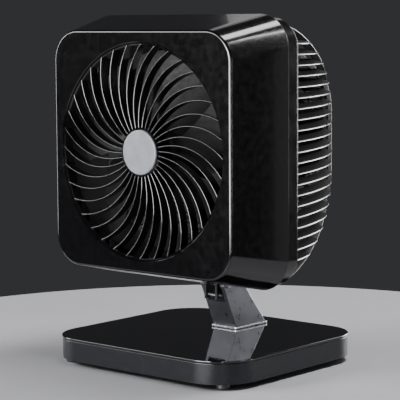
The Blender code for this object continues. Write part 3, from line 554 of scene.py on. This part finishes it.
def make_finishes(settings):
    FINISHES["gloss"] = gloss_abs("polished_black_abs", linear(settings.gloss_colour))
    FINISHES["vane"] = gloss_abs("polished_black_abs_vanes", linear(settings.gloss_colour), (0.12, 0.2))
    FINISHES["top"] = gloss_abs("lacquered_base_top", linear("08080a"), (0.02, 0.05))
    FINISHES["satin"] = satin_plastic("satin_black_polypropylene", linear(settings.satin_colour))
    FINISHES["band"] = sleek_plastic("smooth_black_band", linear("0a0a0c"), (0.14, 0.2))
    FINISHES["fin"] = matt_plastic("matt_black_cage", linear(settings.fin_colour), (0.42, 0.55), 0.15)
    FINISHES["fin_edge"] = sleek_plastic("burnished_cage_edges", linear(settings.satin_colour))
    # Near-black matt for the pieces inside the head and the blades: painted shade, darker than their slots' own
    # finishes.
    FINISHES["inner"] = matt_plastic("painted_shade_matt_black", linear("0a0a0b"))
    FINISHES["base"] = paint("satin_graphite_enamel", linear(settings.base_colour), 0.55, (0.2, 0.28))
    FINISHES["arm"] = paint("satin_grey_enamel", linear(settings.arm_colour), 0.7, (0.26, 0.36), 0.08)
    FINISHES["cap"] = satin_plastic("pale_satin_cap", linear(settings.cap_colour), (0.32, 0.42), 0.8, 0.006)
    FINISHES["dark_steel"] = paint("electro_coated_steel", linear("26262a"), 0.4, (0.35, 0.5), 0.2)
    FINISHES["bright_steel"] = drawn_steel("zinc_plated_steel", linear("b9bac0"))
    FINISHES["rubber"] = rubber("black_moulded_rubber", linear("1b1b1c"))
    FINISHES["foot"] = satin_plastic("satin_foot_moulding", linear("2c2c30"), (0.28, 0.36), 0.8, 0.01)
    FINISHES["nylon"] = satin_plastic("black_nylon", linear("1d1d1e"), (0.4, 0.5))
    FINISHES["copper"] = winding("lacquered_copper_winding", linear("b4683c"))


SLOT_FINISH = {
    "gloss_black": "gloss",
    "satin_black": "satin",
    "arm_grey": "arm",
    "dark_steel": "dark_steel",
    "bright_steel": "bright_steel",
    "pale_cap": "cap",
    "foot_rubber": "rubber",
    "black_nylon": "nylon",
    "copper_winding": "copper",
}


# Pieces inside the head that get the near-black matt in place of their slot's finish: painted shade.
PAINTED_SHADE_NODES = (
    "air_duct", "motor_mount", "motor_front_bell", "motor_rear_bell", "run_capacitor", "speed_switch",
)


# ---------------------------------------------------------------- head


def make_housing(settings):
    """The tapered shell: a rounded square face, flared out to its rim, with a filleted front edge."""
    front, back = SHELL_LOW.y, SHELL_HIGH.y
    rim = (SHELL_HIGH.x, SHELL_HIGH.z - HEAD_Z)
    face = (0.1683, 0.1718)
    face_corner, rim_corner = 0.0445, 0.050
    wall, rim_rounding = 0.0028, 0.0010
    lip, cut_depth = 0.0112, 0.01
    shell = outline("housing_shell", facing(rounded(*face, face_corner), front))
    mouth = outline("housing_rim_line", facing(rounded(*rim, rim_corner), back), filled=False)
    join(shell, [mouth])
    bpy.ops.object.mode_set(mode="EDIT")
    bpy.ops.mesh.select_mode(type="EDGE")
    bpy.ops.mesh.select_all(action="SELECT")
    bpy.ops.mesh.bridge_edge_loops()
    face_outwards()
    bpy.ops.object.mode_set(mode="OBJECT")
    round_edges(shell, settings.rim_fillet, 7, 50)
    apply(shell, "SOLIDIFY", thickness=wall, offset=-1.0, use_even_offset=True)
    round_edges(shell, rim_rounding, 3, 60)
    radius = settings.opening_radius
    opening = turned(
        "opening_cutter",
        [(0.0, front - cut_depth), (radius + lip, front - cut_depth), (radius, front + 0.0012),
         (radius, front + cut_depth), (0.0, front + cut_depth)],
        HEAD, steps=180
    )
    cut(shell, opening)
    return finish(shell, FINISHES["gloss"], "head", "gloss_black", "front_shell", angle=30)


def vane_line(settings, steps):
    """The middle line of one vane as (x, z) points: its angle falls as its radius grows."""
    inner, outer, phase = 0.0345, settings.opening_radius - 0.0022, math.radians(34)
    line = []
    for i in range(steps + 1):
        share = i / steps
        radius = inner + (outer - inner) * share
        angle = phase - settings.vane_sweep * share**1.5
        line.append(Vector((radius * math.cos(angle), radius * math.sin(angle))))
    return line


def make_front_grille(settings):
    """The swept vanes, the ring round their ends and the hub that holds the cap."""
    front = GRILLE_LOW.y
    vane_depth = 0.0148
    ring_gap, ring_width = 0.0007, 0.0033
    back = front + 0.0182
    line = vane_line(settings, 22)
    half = settings.vane_thickness / 2
    one_side, other_side = [], []
    for i, point in enumerate(line):
        run = (line[min(i + 1, len(line) - 1)] - line[max(i - 1, 0)]).normalized()
        across = Vector((-run.y, run.x)) * half
        one_side.append(point + across)
        other_side.append(point - across)
    start = front + 0.0006
    vane = ribbon("vane_1", facing(one_side, start), facing(other_side, start), (0, vane_depth, 0))
    round_edges(vane, half * 0.9, 3, 50)
    centre = Vector((0.0, 0.0, HEAD_Z))
    turns = [2 * math.pi * number / settings.vanes for number in range(1, settings.vanes)]
    vanes = [copy_turned(vane, "vane_copy", turn, "Y", centre) for turn in turns]
    radius = settings.opening_radius
    ring_outer = radius - ring_gap
    ring_inner = ring_outer - ring_width
    ring = turned(
        "grille_ring",
        [(ring_outer, front + 0.0009), (ring_outer, back), (ring_inner, back),
         (ring_inner, front + 0.0028), (ring_outer - 0.0013, front + 0.0009)],
        centre, steps=180
    )
    hub_radius = CAP_HIGH.x + 0.0010
    hub = turned(
        "grille_hub",
        [(0.0, front + 0.0034), (hub_radius, front + 0.0034), (hub_radius, front + 0.0004),
         (hub_radius + 0.0003, front), (hub_radius + 0.0017, front), (hub_radius + 0.0034, front + 0.0024),
         (hub_radius + 0.0034, front + 0.0112), (0.0, front + 0.0112)],
        centre, steps=96
    )
    join(vane, vanes + [ring, hub])
    vane.name = "vane_grille"
    return finish(vane, FINISHES["vane"], "head", "gloss_black", "front_grille", angle=35)


def make_cap(settings):
    """The centre cap: a slightly crowned disc with a soft edge."""
    radius, front, back = CAP_HIGH.x, CAP_LOW.y, CAP_HIGH.y
    edge = 0.0016
    crown = 0.0005
    profile = [(0.0, front)]
    profile += [(radius * share, front + crown * share**2) for share in (0.3, 0.55, 0.78, 0.9)]
    for angle in (75, 50, 25, 0):
        turn = math.radians(angle)
        profile.append((radius - edge + edge * math.cos(turn), front + crown + edge - edge * math.sin(turn)))
    profile += [(radius, back), (0.0, back)]
    cap = turned("cap_disc", profile, (0.0, 0.0, HEAD_Z), steps=96)
    return finish(cap, FINISHES["cap"], "head", "pale_cap", "centre_cap", angle=50)


def make_band(settings):
    """The rear band between the housing and the cage, with four screw bosses inside."""
    half = BAND_HIGH.x
    corner, wall = 0.045, 0.006
    depth = BAND_HIGH.y - BAND_LOW.y
    outer = facing(rounded(half, half, corner), BAND_LOW.y)
    inner = facing(rounded(half - wall, half - wall, corner - wall), BAND_LOW.y)
    band = hoop("rear_band", outer, inner, (0, depth, 0))
    boss_reach, boss_radius, boss_recess = 0.1665, 0.009, 0.003
    for a in (-1, 1):
        for b in (-1, 1):
            x, z = a * boss_reach, HEAD_Z + b * boss_reach
            unite(band, rod("boss", (x, BAND_LOW.y, z), (x, BAND_HIGH.y - boss_recess, z), boss_radius))
    round_edges(band, 0.0012, 3, 50)
    return finish(band, FINISHES["band"], "head", "satin_black", "rear_bezel")


DOME_FRONT = BAND_HIGH.y
DOME_HALF = 0.187
DOME_LENGTH = 0.27
DOME_POWER = 1.19
DOME_SQUARENESS = (12.0, 5.4)
FIN_DEPTH, FIN_ROUNDING = 0.015, 0.00105
RIB_DEPTH, RIB_RECESS, RIB_ROUNDING = 0.011, 0.0006, 0.0009
RIB_THICKNESS = 0.003
RIB_PLACES = (-0.088, -0.036, 0.036, 0.088)


def dome_reach(angle, off_plane=None):
    """Distance from the middle of the cage's mouth to its skin, at an angle up from the mouth.

    The plane is level or upright, this far off the axis, or is the one through two corners where it is None.
    """
    near, far = 0.0, 0.4
    for _ in range(36):
        middle = (near + far) / 2
        share = min(max(middle * math.sin(angle) / DOME_LENGTH, 0.0), 1.0)
        half = DOME_HALF * math.sqrt(1.0 - share**DOME_POWER)
        squareness = DOME_SQUARENESS[0] + (DOME_SQUARENESS[1] - DOME_SQUARENESS[0]) * share
        across = middle * math.cos(angle)
        if off_plane is None:
            total = 2 * (across * math.sqrt(0.5)) ** squareness
        else:
            total = across**squareness + abs(off_plane) ** squareness
        near, far = (middle, far) if total < half**squareness else (near, middle)
    return near


def dome_lines(angles, recess, depth, off_plane=None):
    """The outer and inner lines, as (across, y) points, of a strip that follows the cage's skin."""
    start = CAGE_LOW.y
    deepest = CAGE_HIGH.y - 0.002
    outer, inner = [], []
    for angle in angles:
        reach = dome_reach(min(angle, math.pi - angle), off_plane) - recess
        for side, distance, limit in ((outer, reach, deepest), (inner, reach - depth, deepest - 0.004)):
            side.append((distance * math.cos(angle), min(start + distance * math.sin(angle), limit)))
    return outer, inner


def half_turn(steps):
    return [math.pi * i / (2 * steps) for i in range(2 * steps + 1)]


def burnish_edge(obj, flat=False):
    """Gives the faces that look outwards from the cage the smoother finish, and the rest the matt one."""
    obj.data.materials.append(FINISHES["fin"])
    obj.data.materials.append(FINISHES["fin_edge"])
    middle = Vector((0.0, -0.03, HEAD_Z))
    for face in obj.data.polygons:
        normal, outwards = face.normal.copy(), face.center - middle
        if flat:
            normal.z = outwards.z = 0.0
        face.material_index = int(normal.dot(outwards.normalized()) > 0.45)
    return obj


def make_fin(settings, offset):
    """One louver round the cage. Its inner edge stands higher than its outer one."""
    outer, inner = dome_lines(half_turn(22), 0.0, FIN_DEPTH, offset)
    low = HEAD_Z + offset - settings.fin_thickness / 2
    slope = math.tan(settings.fin_slope)
    raised = [Vector((*b, low + slope * math.dist(a, b))) for a, b in zip(outer, inner)]
    fin = ribbon("fin", level(outer, low), raised, (0, 0, settings.fin_thickness))
    return burnish_edge(round_edges(fin, FIN_ROUNDING, 3, 50), flat=True)


def make_rib(x):
    """An upright rib round the cage, this far to one side."""
    outer, inner = dome_lines(half_turn(28), RIB_RECESS, RIB_DEPTH, x)
    low = x - RIB_THICKNESS / 2
    lines = [sideways([(y, HEAD_Z + z) for z, y in line], low) for line in (outer, inner)]
    return burnish_edge(round_edges(ribbon("rib", *lines, (RIB_THICKNESS, 0, 0)), RIB_ROUNDING, 3, 50))


def make_corner_rib(number):
    """A rib on one of the cage's four rounded edges, from its mouth's corner to the back plate."""
    angles = [math.radians(69) * i / 24 for i in range(25)] + [math.radians(82)]
    outer, inner = dome_lines(angles, RIB_RECESS, RIB_DEPTH)
    turn = Matrix.Rotation(math.pi / 4 + number * math.pi / 2, 3, "Y")
    up = Vector((0.0, 0.0, HEAD_Z))
    lines = [[turn @ Vector((*point, -RIB_THICKNESS / 2)) + up for point in line] for line in (outer, inner)]
    rib = ribbon("corner_rib", *lines, tuple(turn @ Vector((0.0, 0.0, RIB_THICKNESS))))
    return burnish_edge(round_edges(rib, RIB_ROUNDING, 3, 50))


def make_cage(settings):
    """The rear cage: level louvers, ribs across them, a mounting ring, a hub plate and the bracket's pad."""
    offsets = [(number - (settings.fins - 1) / 2) * settings.fin_pitch for number in range(settings.fins)]
    shapes = [make_fin(settings, offset) for offset in offsets]
    shapes += [make_rib(x) for x in RIB_PLACES]
    shapes += [make_corner_rib(number) for number in range(4)]
    back = CAGE_LOW.y
    ring = hoop(
        "ring", facing(rounded(0.1868, 0.1868, 0.040), back), facing(rounded(0.1790, 0.1790, 0.034), back),
        (0, 0.006, 0)
    )
    round_edges(ring, 0.0010, 2, 50)
    face = CAGE_HIGH.y
    hub_low = face - 0.0085
    hub = turned(
        "hub",
        [(0.0, hub_low), (0.060, hub_low), (0.064, hub_low + 0.003), (0.064, face - 0.0015),
         (0.0632, face - 0.0004), (0.0622, face), (0.058, face), (0.0572, face - 0.0006),
         (0.0564, face - 0.0006), (0.0556, face), (0.0, face)],
        (0.0, 0.0, HEAD_Z), steps=96
    )
    gland_z = middle_of("cord_gland").z
    holes = [rod("hole", (0.0, 0.16, z), (0.0, 0.20, z), r) for z, r in ((KNOB_Z, 0.0036), (gland_z, 0.0062))]
    cut(hub, *holes)
    pad = block("pad", (-0.0372, back + 0.0004, CAGE_LOW.z), (0.0372, 0.0040, CAGE_LOW.z + 0.0110))
    round_edges(pad, 0.0010, 2)
    for shape in (ring, hub, pad):
        burnish_edge(shape)
    cage = shapes[0]
    join(cage, shapes[1:] + [ring, hub, pad])
    cage.name = "fin_cage"
    return finish(cage, None, "head", "satin_black", "rear_grille")


# ---------------------------------------------------------------- impeller and controls


BLADE_ROOT = 0.0325
BLADE_TIP = FAN_HIGH.x - 0.0012


def blade_point(radius, along):
    """A point on a blade's middle surface, from its radius and a share of its chord from -0.5 to 0.5."""
    share = (radius - BLADE_ROOT) / (BLADE_TIP - BLADE_ROOT)
    pitch = math.radians(47 - 27 * share)
    chord = (0.046 + 0.093 * share) * along
    camber = 0.0060 * (1 - 4 * along**2)
    around = chord * math.cos(pitch) - camber * math.sin(pitch)
    axial = chord * math.sin(pitch) + camber * math.cos(pitch)
    angle = math.radians(10 * share) + around / radius
    return Vector((radius * math.cos(angle), HEAD.y - axial, HEAD_Z + radius * math.sin(angle)))


def make_blade():
    """One broad blade: a pitched, cambered skin with a wall and rounded edges."""
    across, outwards = 14, 12
    bpy.ops.object.select_all(action="DESELECT")
    bpy.ops.mesh.primitive_grid_add(x_subdivisions=across, y_subdivisions=outwards, size=0.1)
    points = []
    for row in range(outwards + 1):
        share = row / outwards
        for column in range(across + 1):
            along = column / across - 0.5
            rounding = 0.010 * max(0.0, abs(along) - 0.34) ** 2 / 0.0256
            points.append(blade_point(BLADE_ROOT + (BLADE_TIP - rounding - BLADE_ROOT) * share, along))
    blade = move_points(named("blade"), points)
    apply(blade, "SOLIDIFY", thickness=0.0022, offset=0.0, use_even_offset=True)
    return round_edges(blade, 0.0008, 2, 50)


def make_impeller(settings):
    """Seven broad blades on a domed hub."""
    blade = make_blade()
    centre = Vector((0.0, 0.0, HEAD_Z))
    turns = [2 * math.pi * number / settings.blades for number in range(1, settings.blades)]
    blades = [copy_turned(blade, "blade_copy", turn, "Y", centre) for turn in turns]
    y = HEAD.y
    hub = turned(
        "hub",
        [(0.0044, y - 0.0258), (0.0140, y - 0.0258), (0.0230, y - 0.0246), (0.0290, y - 0.0222),
         (0.0322, y - 0.0180), (0.0330, y - 0.0140), (0.0330, y + 0.0238), (0.0300, y + 0.0238),
         (0.0300, y - 0.0140),
         (0.0100, y - 0.0180), (0.0100, y + 0.0140), (0.0044, y + 0.0140)],
        centre, steps=64
    )
    join(blade, blades + [hub])
    blade.name = "blade_rotor"
    # The blades take the near-black matt of the pieces inside, darker than their satin black slot: painted shade.
    return finish(blade, FINISHES["inner"], "rotor", "satin_black", "impeller")


def make_knob(settings):
    """The speed knob: a flanged dial with finger flutes round it and one groove as its pointer."""
    centre = (0.0, 0.0, KNOB_Z)
    base, face = KNOB_LOW.y, KNOB_HIGH.y
    radius = KNOB_HIGH.x
    grip = radius - 0.0022
    profile = [(0.0, face - 0.0047), (0.0033, face - 0.0047), (0.0033, base), (radius - 0.0003, base),
               (radius, base + 0.0004), (radius, base + 0.0022), (radius - 0.0006, base + 0.0030),
               (grip + 0.0004, base + 0.0034), (grip, base + 0.0042), (grip - 0.0006, face - 0.0020),
               (grip - 0.0012, face - 0.0008), (grip - 0.0024, face - 0.0001), (grip - 0.0034, face),
               (0.0, face)]
    knob = turned("speed_dial", profile, centre, steps=96)
    flutes = 18
    for number in range(flutes):
        angle = 2 * math.pi * (number + 0.5) / flutes
        x, z = (grip + 0.0006) * math.cos(angle), KNOB_Z + (grip + 0.0006) * math.sin(angle)
        cut(knob, rod("flute", (x, base + 0.0050, z), (x, face + 0.01, z), 0.0011, 12))
    groove = block("groove", (-0.0008, face - 0.0008, KNOB_Z + 0.004), (0.0008, face + 0.01, KNOB_Z + 0.03))
    cut(knob, groove)
    return finish(knob, FINISHES["gloss"], "knob", "gloss_black", "speed_knob", angle=30)


# ---------------------------------------------------------------- stand


def make_base(settings):
    """The gloss top plate over the satin side band."""
    low, high = TOP_LOW, TOP_HIGH
    half = ((high.x - low.x) / 2, (high.y - low.y) / 2)
    corner = 0.063
    top = slab("base_lid", level(rounded(*half, corner, (0.0, STAND_Y), 28), low.z), (0, 0, high.z - low.z))
    round_edges(top, 0.0013, 4, 50)
    finish(top, FINISHES["top"], "stand", "gloss_black", "base_top_plate")
    inset = 0.0008
    tray_half = (half[0] - inset, half[1] - inset)
    tray = slab(
        "base_band", level(rounded(*tray_half, corner, (0.0, STAND_Y), 28), TRAY_LOW.z),
        (0, 0, TRAY_HIGH.z - TRAY_LOW.z)
    )
    wall = 0.004
    pocket_half = (tray_half[0] - wall, tray_half[1] - wall)
    pocket = slab(
        "pocket", level(rounded(*pocket_half, corner - wall, (0.0, STAND_Y), 28), TRAY_LOW.z - 0.01),
        (0, 0, TRAY_HIGH.z - TRAY_LOW.z + 0.01 - 0.0035)
    )
    cut(tray, pocket)
    round_edges(tray, 0.0010, 3, 50)
    finish(tray, FINISHES["base"], "stand", "satin_black", "base_tray")


def make_feet(settings):
    """Four round feet with a small step above the floor."""
    for number in range(1, 5):
        low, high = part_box(f"foot_{number}")
        centre = (low + high) / 2
        radius = (high.x - low.x) / 2
        profile = [(0.0, high.z), (radius - 0.0012, high.z), (radius - 0.0004, high.z - 0.0003),
                   (radius, high.z - 0.0010), (radius, 0.0022), (radius - 0.0006, 0.0020),
                   (radius - 0.0006, 0.0009), (radius - 0.0010, 0.0003), (radius - 0.0018, 0.0), (0.0, 0.0)]
        foot = turned(f"round_foot_{number}", profile, (centre.x, centre.y, 0.0), "Z", steps=48)
        finish(foot, FINISHES["foot"], "stand", "foot_rubber", f"foot_{number}")


def make_arm(settings):
    """The leaning arm with its slotted knuckle, and the bright plate under it."""
    front, back = 0.0115, 0.0820
    outline_points = [(front, ARM_LOW.z)]
    outline_points += arc((PIVOT.y, PIVOT.z), 0.0095, 186, 60, 20)
    outline_points += [(0.0040, PIVOT.z + 0.0040), (0.0260, PIVOT.z + 0.0035), (back, ARM_LOW.z)]
    arm = slab("arm_casting", sideways(outline_points, ARM_LOW.x), (ARM_HIGH.x - ARM_LOW.x, 0, 0))
    round_edges(arm, 0.0011, 4, 50)
    slot_half = 0.0165
    slot_points = [(-0.040, 0.086), (-0.0060, 0.086), (0.0080, 0.094), (0.0080, 0.140), (-0.040, 0.140)]
    slot = slab("slot_cutter", sideways(slot_points, -slot_half), (2 * slot_half, 0, 0))
    bore = rod("bore", (-0.04, PIVOT.y, PIVOT.z), (0.04, PIVOT.y, PIVOT.z), 0.0031)
    cut(arm, slot, bore)
    finish(arm, FINISHES["arm"], "stand", "arm_grey", "arm_column")
    half = (PLATE_HIGH.x, (PLATE_HIGH.y - PLATE_LOW.y) / 2)
    centre = (0.0, (PLATE_HIGH.y + PLATE_LOW.y) / 2)
    plate = slab("arm_sole_plate", level(rounded(*half, 0.003, centre, 6), PLATE_LOW.z),
                 (0, 0, PLATE_HIGH.z - PLATE_LOW.z))
    round_edges(plate, 0.0008, 3, 50)
    finish(plate, FINISHES["bright_steel"], "stand", "bright_steel", "arm_foot_plate")


def make_bracket(settings):
    """The pressed bracket under the head, with its two ears."""
    top = BRACKET_HIGH.z
    sheet = 0.003
    middle = (BRACKET_HIGH.y + BRACKET_LOW.y) / 2
    half = (BRACKET_HIGH.x, (BRACKET_HIGH.y - BRACKET_LOW.y) / 2)
    flange = slab("ear_bracket", level(rounded(*half, 0.004, (0.0, middle), 6), top - sheet), (0, 0, sheet))
    low = BRACKET_LOW.z
    for side in (-1, 1):
        ear = [(-0.0215, top - 0.001), (-0.0215, low), (-0.0055, low + 0.003), (0.0005, low + 0.0095),
               (0.0005, top - 0.001)]
        start, end = sorted((side * 0.0090, side * 0.0120))
        unite(flange, slab("ear", sideways(ear, start), (end - start, 0, 0)))
    round_edges(flange, 0.0005, 3, 50)
    return finish(flange, FINISHES["dark_steel"], "head", "dark_steel", "tilt_bracket")


# ---------------------------------------------------------------- carried-over nodes and stage


def dress_nodes():
    """Gives every node of the frame that still shows the finish of its slot; the pieces inside the head get the
    near-black matt instead, as painted shade.
    """
    slots = {row["node"]: row["material_slot"] for row in frame["record"]["subparts"]}
    for name, obj in frame["nodes"].items():
        # The pieces inside the head take the near-black matt, painted shade, not their slot's finish.
        finish_name = "inner" if name in PAINTED_SHADE_NODES else SLOT_FINISH[slots[name]]
        obj.data.materials.clear()
        obj.data.materials.append(FINISHES[finish_name])


def soft_box(name, place, size, radiance, target=None, floor_too=False):
    """A rectangular light of this brightness. Unless it lights the floor too, only gloss picks it up."""
    target = Vector((0.0, 0.0, HEAD_Z)) if target is None else Vector(target)
    bpy.ops.object.light_add(type="AREA", location=place)
    light = bpy.context.object
    light.name = name
    light.data.shape = "RECTANGLE"
    light.data.size, light.data.size_y = size
    light.data.energy = radiance * size[0] * size[1] * math.pi
    aim = (target - Vector(place)).normalized()
    light.rotation_euler = aim.to_track_quat("-Z", "Y").to_euler()
    light.visible_diffuse = floor_too
    light.visible_camera = False


CAMERA_PLACE = (1.5706, -1.8599, 0.5022)
CAMERA_TURN = 40.86
CAMERA_DOWN = 6.19
CAMERA_ROLL = -0.3
CAMERA_LENS = 147.0
FLOOR_RADIUS = 0.68
WORLD_STRENGTH = 0.06


def make_camera():
    """The camera that looks at the fan from its front right, a little above it."""
    bpy.ops.object.camera_add(location=CAMERA_PLACE)
    camera = bpy.context.object
    camera.name = "camera"
    turn = Matrix.Rotation(math.radians(CAMERA_TURN), 3, "Z")
    tip = Matrix.Rotation(math.radians(90 - CAMERA_DOWN), 3, "X")
    roll = Matrix.Rotation(math.radians(CAMERA_ROLL), 3, "Z")
    camera.rotation_euler = (turn @ tip @ roll).to_euler()
    camera.data.lens = CAMERA_LENS
    camera.data.sensor_width = 36.0
    camera.data.clip_end = 50.0
    bpy.context.scene.camera = camera


def make_stage(settings):
    """A pale floor, a dim grey world, the soft lights and the camera."""
    bpy.ops.object.select_all(action="DESELECT")
    bpy.ops.mesh.primitive_circle_add(vertices=128, radius=FLOOR_RADIUS, fill_type="NGON")
    floor = named("studio_floor")
    made, tree, shader, place = start_material("pale_matt_floor", Specular_IOR_Level=0.3)
    colour = linear(settings.floor_colour)
    tone = tinted(tree, varied(tree, place, 180, 0.0, 1.0), shade(colour, 0.97), shade(colour, 1.02))
    tree.links.new(tone, shader.inputs["Base Color"])
    tree.links.new(varied(tree, place, 20, 0.55, 0.7), shader.inputs["Roughness"])
    floor.data.materials.append(made)

    world = bpy.data.worlds.new("studio_world")
    world.use_nodes = True
    sky = world.node_tree.nodes["Background"]
    sky.inputs["Color"].default_value = linear("c9cad0")
    sky.inputs["Strength"].default_value = WORLD_STRENGTH
    bpy.context.scene.world = world

    key = settings.key_radiance
    over = (0.55, 0.65)
    soft_box("overhead_soft_box", (*over, 2.6), (0.6, 2.0), key, (*over, 0.0), floor_too=True)
    soft_box("front_soft_box", (-2.0, -2.33, 1.55), (2.0, 1.0), key * 0.9, floor_too=True)
    soft_box("fillet_panel", (0.0, -1.65, 0.52), (1.1, 1.0), key * 2.0, (0.0, 0.0, 0.52))
    soft_box("left_panel", (-1.9, -0.75, 0.55), (0.6, 1.2), key * 0.7)
    soft_box("cage_high_box", (0.35, 2.37, 1.5), (1.2, 0.7), key * 0.4)
    soft_box("cage_low_card", (0.35, 2.37, 0.5), (1.5, 1.0), key, (0.0, 0.0, 0.5))
    soft_box("rim_strip", (1.97, 1.37, 0.55), (0.25, 1.1), key * 0.6, (0.0, 0.0, 0.55))
    soft_box("flare_card", (-1.15, 1.75, 1.85), (0.8, 1.1), key * 0.05)
    soft_box("corner_strip", (1.5, 0.6, 1.5), (0.04, 1.5), key * 2.5)
    soft_box("side_card", (0.60, 0.22, 0.30), (0.3, 0.6), key * 0.02, (0.143, 0.081, 0.30))
    soft_box("right_upright_strip", (2.4, 0.15, 0.55), (0.10, 1.2), key)
    soft_box("near_upright_strip", (2.0, -1.9, 0.45), (0.12, 1.2), key * 1.5, (0.0, 0.0, 0.3))
    make_camera()


# ---------------------------------------------------------------- operators


class FanPiece:
    """What the operators share: each runs one maker with the scene's settings."""

    bl_options = {"REGISTER"}
    maker = None

    def execute(self, context):
        type(self).maker(context.scene.fan)
        return {"FINISHED"}


class FAN_OT_finishes(FanPiece, bpy.types.Operator):
    """Make the finishes and give them to the frame's own pieces"""

    bl_idname = "fan.finishes"
    bl_label = "Finishes"

    def execute(self, context):
        make_finishes(context.scene.fan)
        dress_nodes()
        return {"FINISHED"}


class FAN_OT_housing(FanPiece, bpy.types.Operator):
    """Model the tapered gloss housing"""

    bl_idname = "fan.housing"
    bl_label = "Housing"
    maker = make_housing


class FAN_OT_front_grille(FanPiece, bpy.types.Operator):
    """Model the grille of swept vanes"""

    bl_idname = "fan.front_grille"
    bl_label = "Front grille"
    maker = make_front_grille


class FAN_OT_cap(FanPiece, bpy.types.Operator):
    """Model the pale centre cap"""

    bl_idname = "fan.cap"
    bl_label = "Centre cap"
    maker = make_cap


class FAN_OT_band(FanPiece, bpy.types.Operator):
    """Model the band behind the housing"""

    bl_idname = "fan.band"
    bl_label = "Rear band"
    maker = make_band


class FAN_OT_cage(FanPiece, bpy.types.Operator):
    """Model the finned rear cage"""

    bl_idname = "fan.cage"
    bl_label = "Rear cage"
    maker = make_cage


class FAN_OT_impeller(FanPiece, bpy.types.Operator):
    """Model the impeller with its broad blades"""

    bl_idname = "fan.impeller"
    bl_label = "Impeller"
    maker = make_impeller


class FAN_OT_knob(FanPiece, bpy.types.Operator):
    """Model the fluted speed knob"""

    bl_idname = "fan.knob"
    bl_label = "Speed knob"
    maker = make_knob


class FAN_OT_base(FanPiece, bpy.types.Operator):
    """Model the base's top plate and side band"""

    bl_idname = "fan.base"
    bl_label = "Base"
    maker = make_base


class FAN_OT_feet(FanPiece, bpy.types.Operator):
    """Model the four round feet"""

    bl_idname = "fan.feet"
    bl_label = "Feet"
    maker = make_feet


class FAN_OT_arm(FanPiece, bpy.types.Operator):
    """Model the leaning arm and the plate under it"""

    bl_idname = "fan.arm"
    bl_label = "Arm"
    maker = make_arm


class FAN_OT_bracket(FanPiece, bpy.types.Operator):
    """Model the bracket that the head tips on"""

    bl_idname = "fan.bracket"
    bl_label = "Tilt bracket"
    maker = make_bracket


class FAN_OT_stage(FanPiece, bpy.types.Operator):
    """Set the floor, the soft lights and the camera"""

    bl_idname = "fan.stage"
    bl_label = "Studio"
    maker = make_stage


OPERATORS = (
    FAN_OT_finishes,
    FAN_OT_housing,
    FAN_OT_front_grille,
    FAN_OT_cap,
    FAN_OT_band,
    FAN_OT_cage,
    FAN_OT_impeller,
    FAN_OT_knob,
    FAN_OT_base,
    FAN_OT_feet,
    FAN_OT_arm,
    FAN_OT_bracket,
    FAN_OT_stage,
)


class FAN_PT_panel(bpy.types.Panel):
    """Lists the fan's settings and its pieces in the 3D view's sidebar"""

    bl_idname = "FAN_PT_panel"
    bl_label = "Square table fan"
    bl_space_type = "VIEW_3D"
    bl_region_type = "UI"
    bl_category = "Fan"

    def draw(self, context):
        settings = context.scene.fan
        for name in FanSettings.__annotations__:
            self.layout.prop(settings, name)
        for operator in OPERATORS:
            self.layout.operator(operator.bl_idname)


def register():
    for cls in (FanSettings, *OPERATORS, FAN_PT_panel):
        bpy.utils.register_class(cls)
    bpy.types.Scene.fan = bpy.props.PointerProperty(type=FanSettings)


def unregister():
    del bpy.types.Scene.fan
    for cls in reversed((FanSettings, *OPERATORS, FAN_PT_panel)):
        bpy.utils.unregister_class(cls)


def main():
    register()
    for operator in OPERATORS:
        group, name = operator.bl_idname.split(".")
        getattr(getattr(bpy.ops, group), name)()


if __name__ == "__main__":
    main()
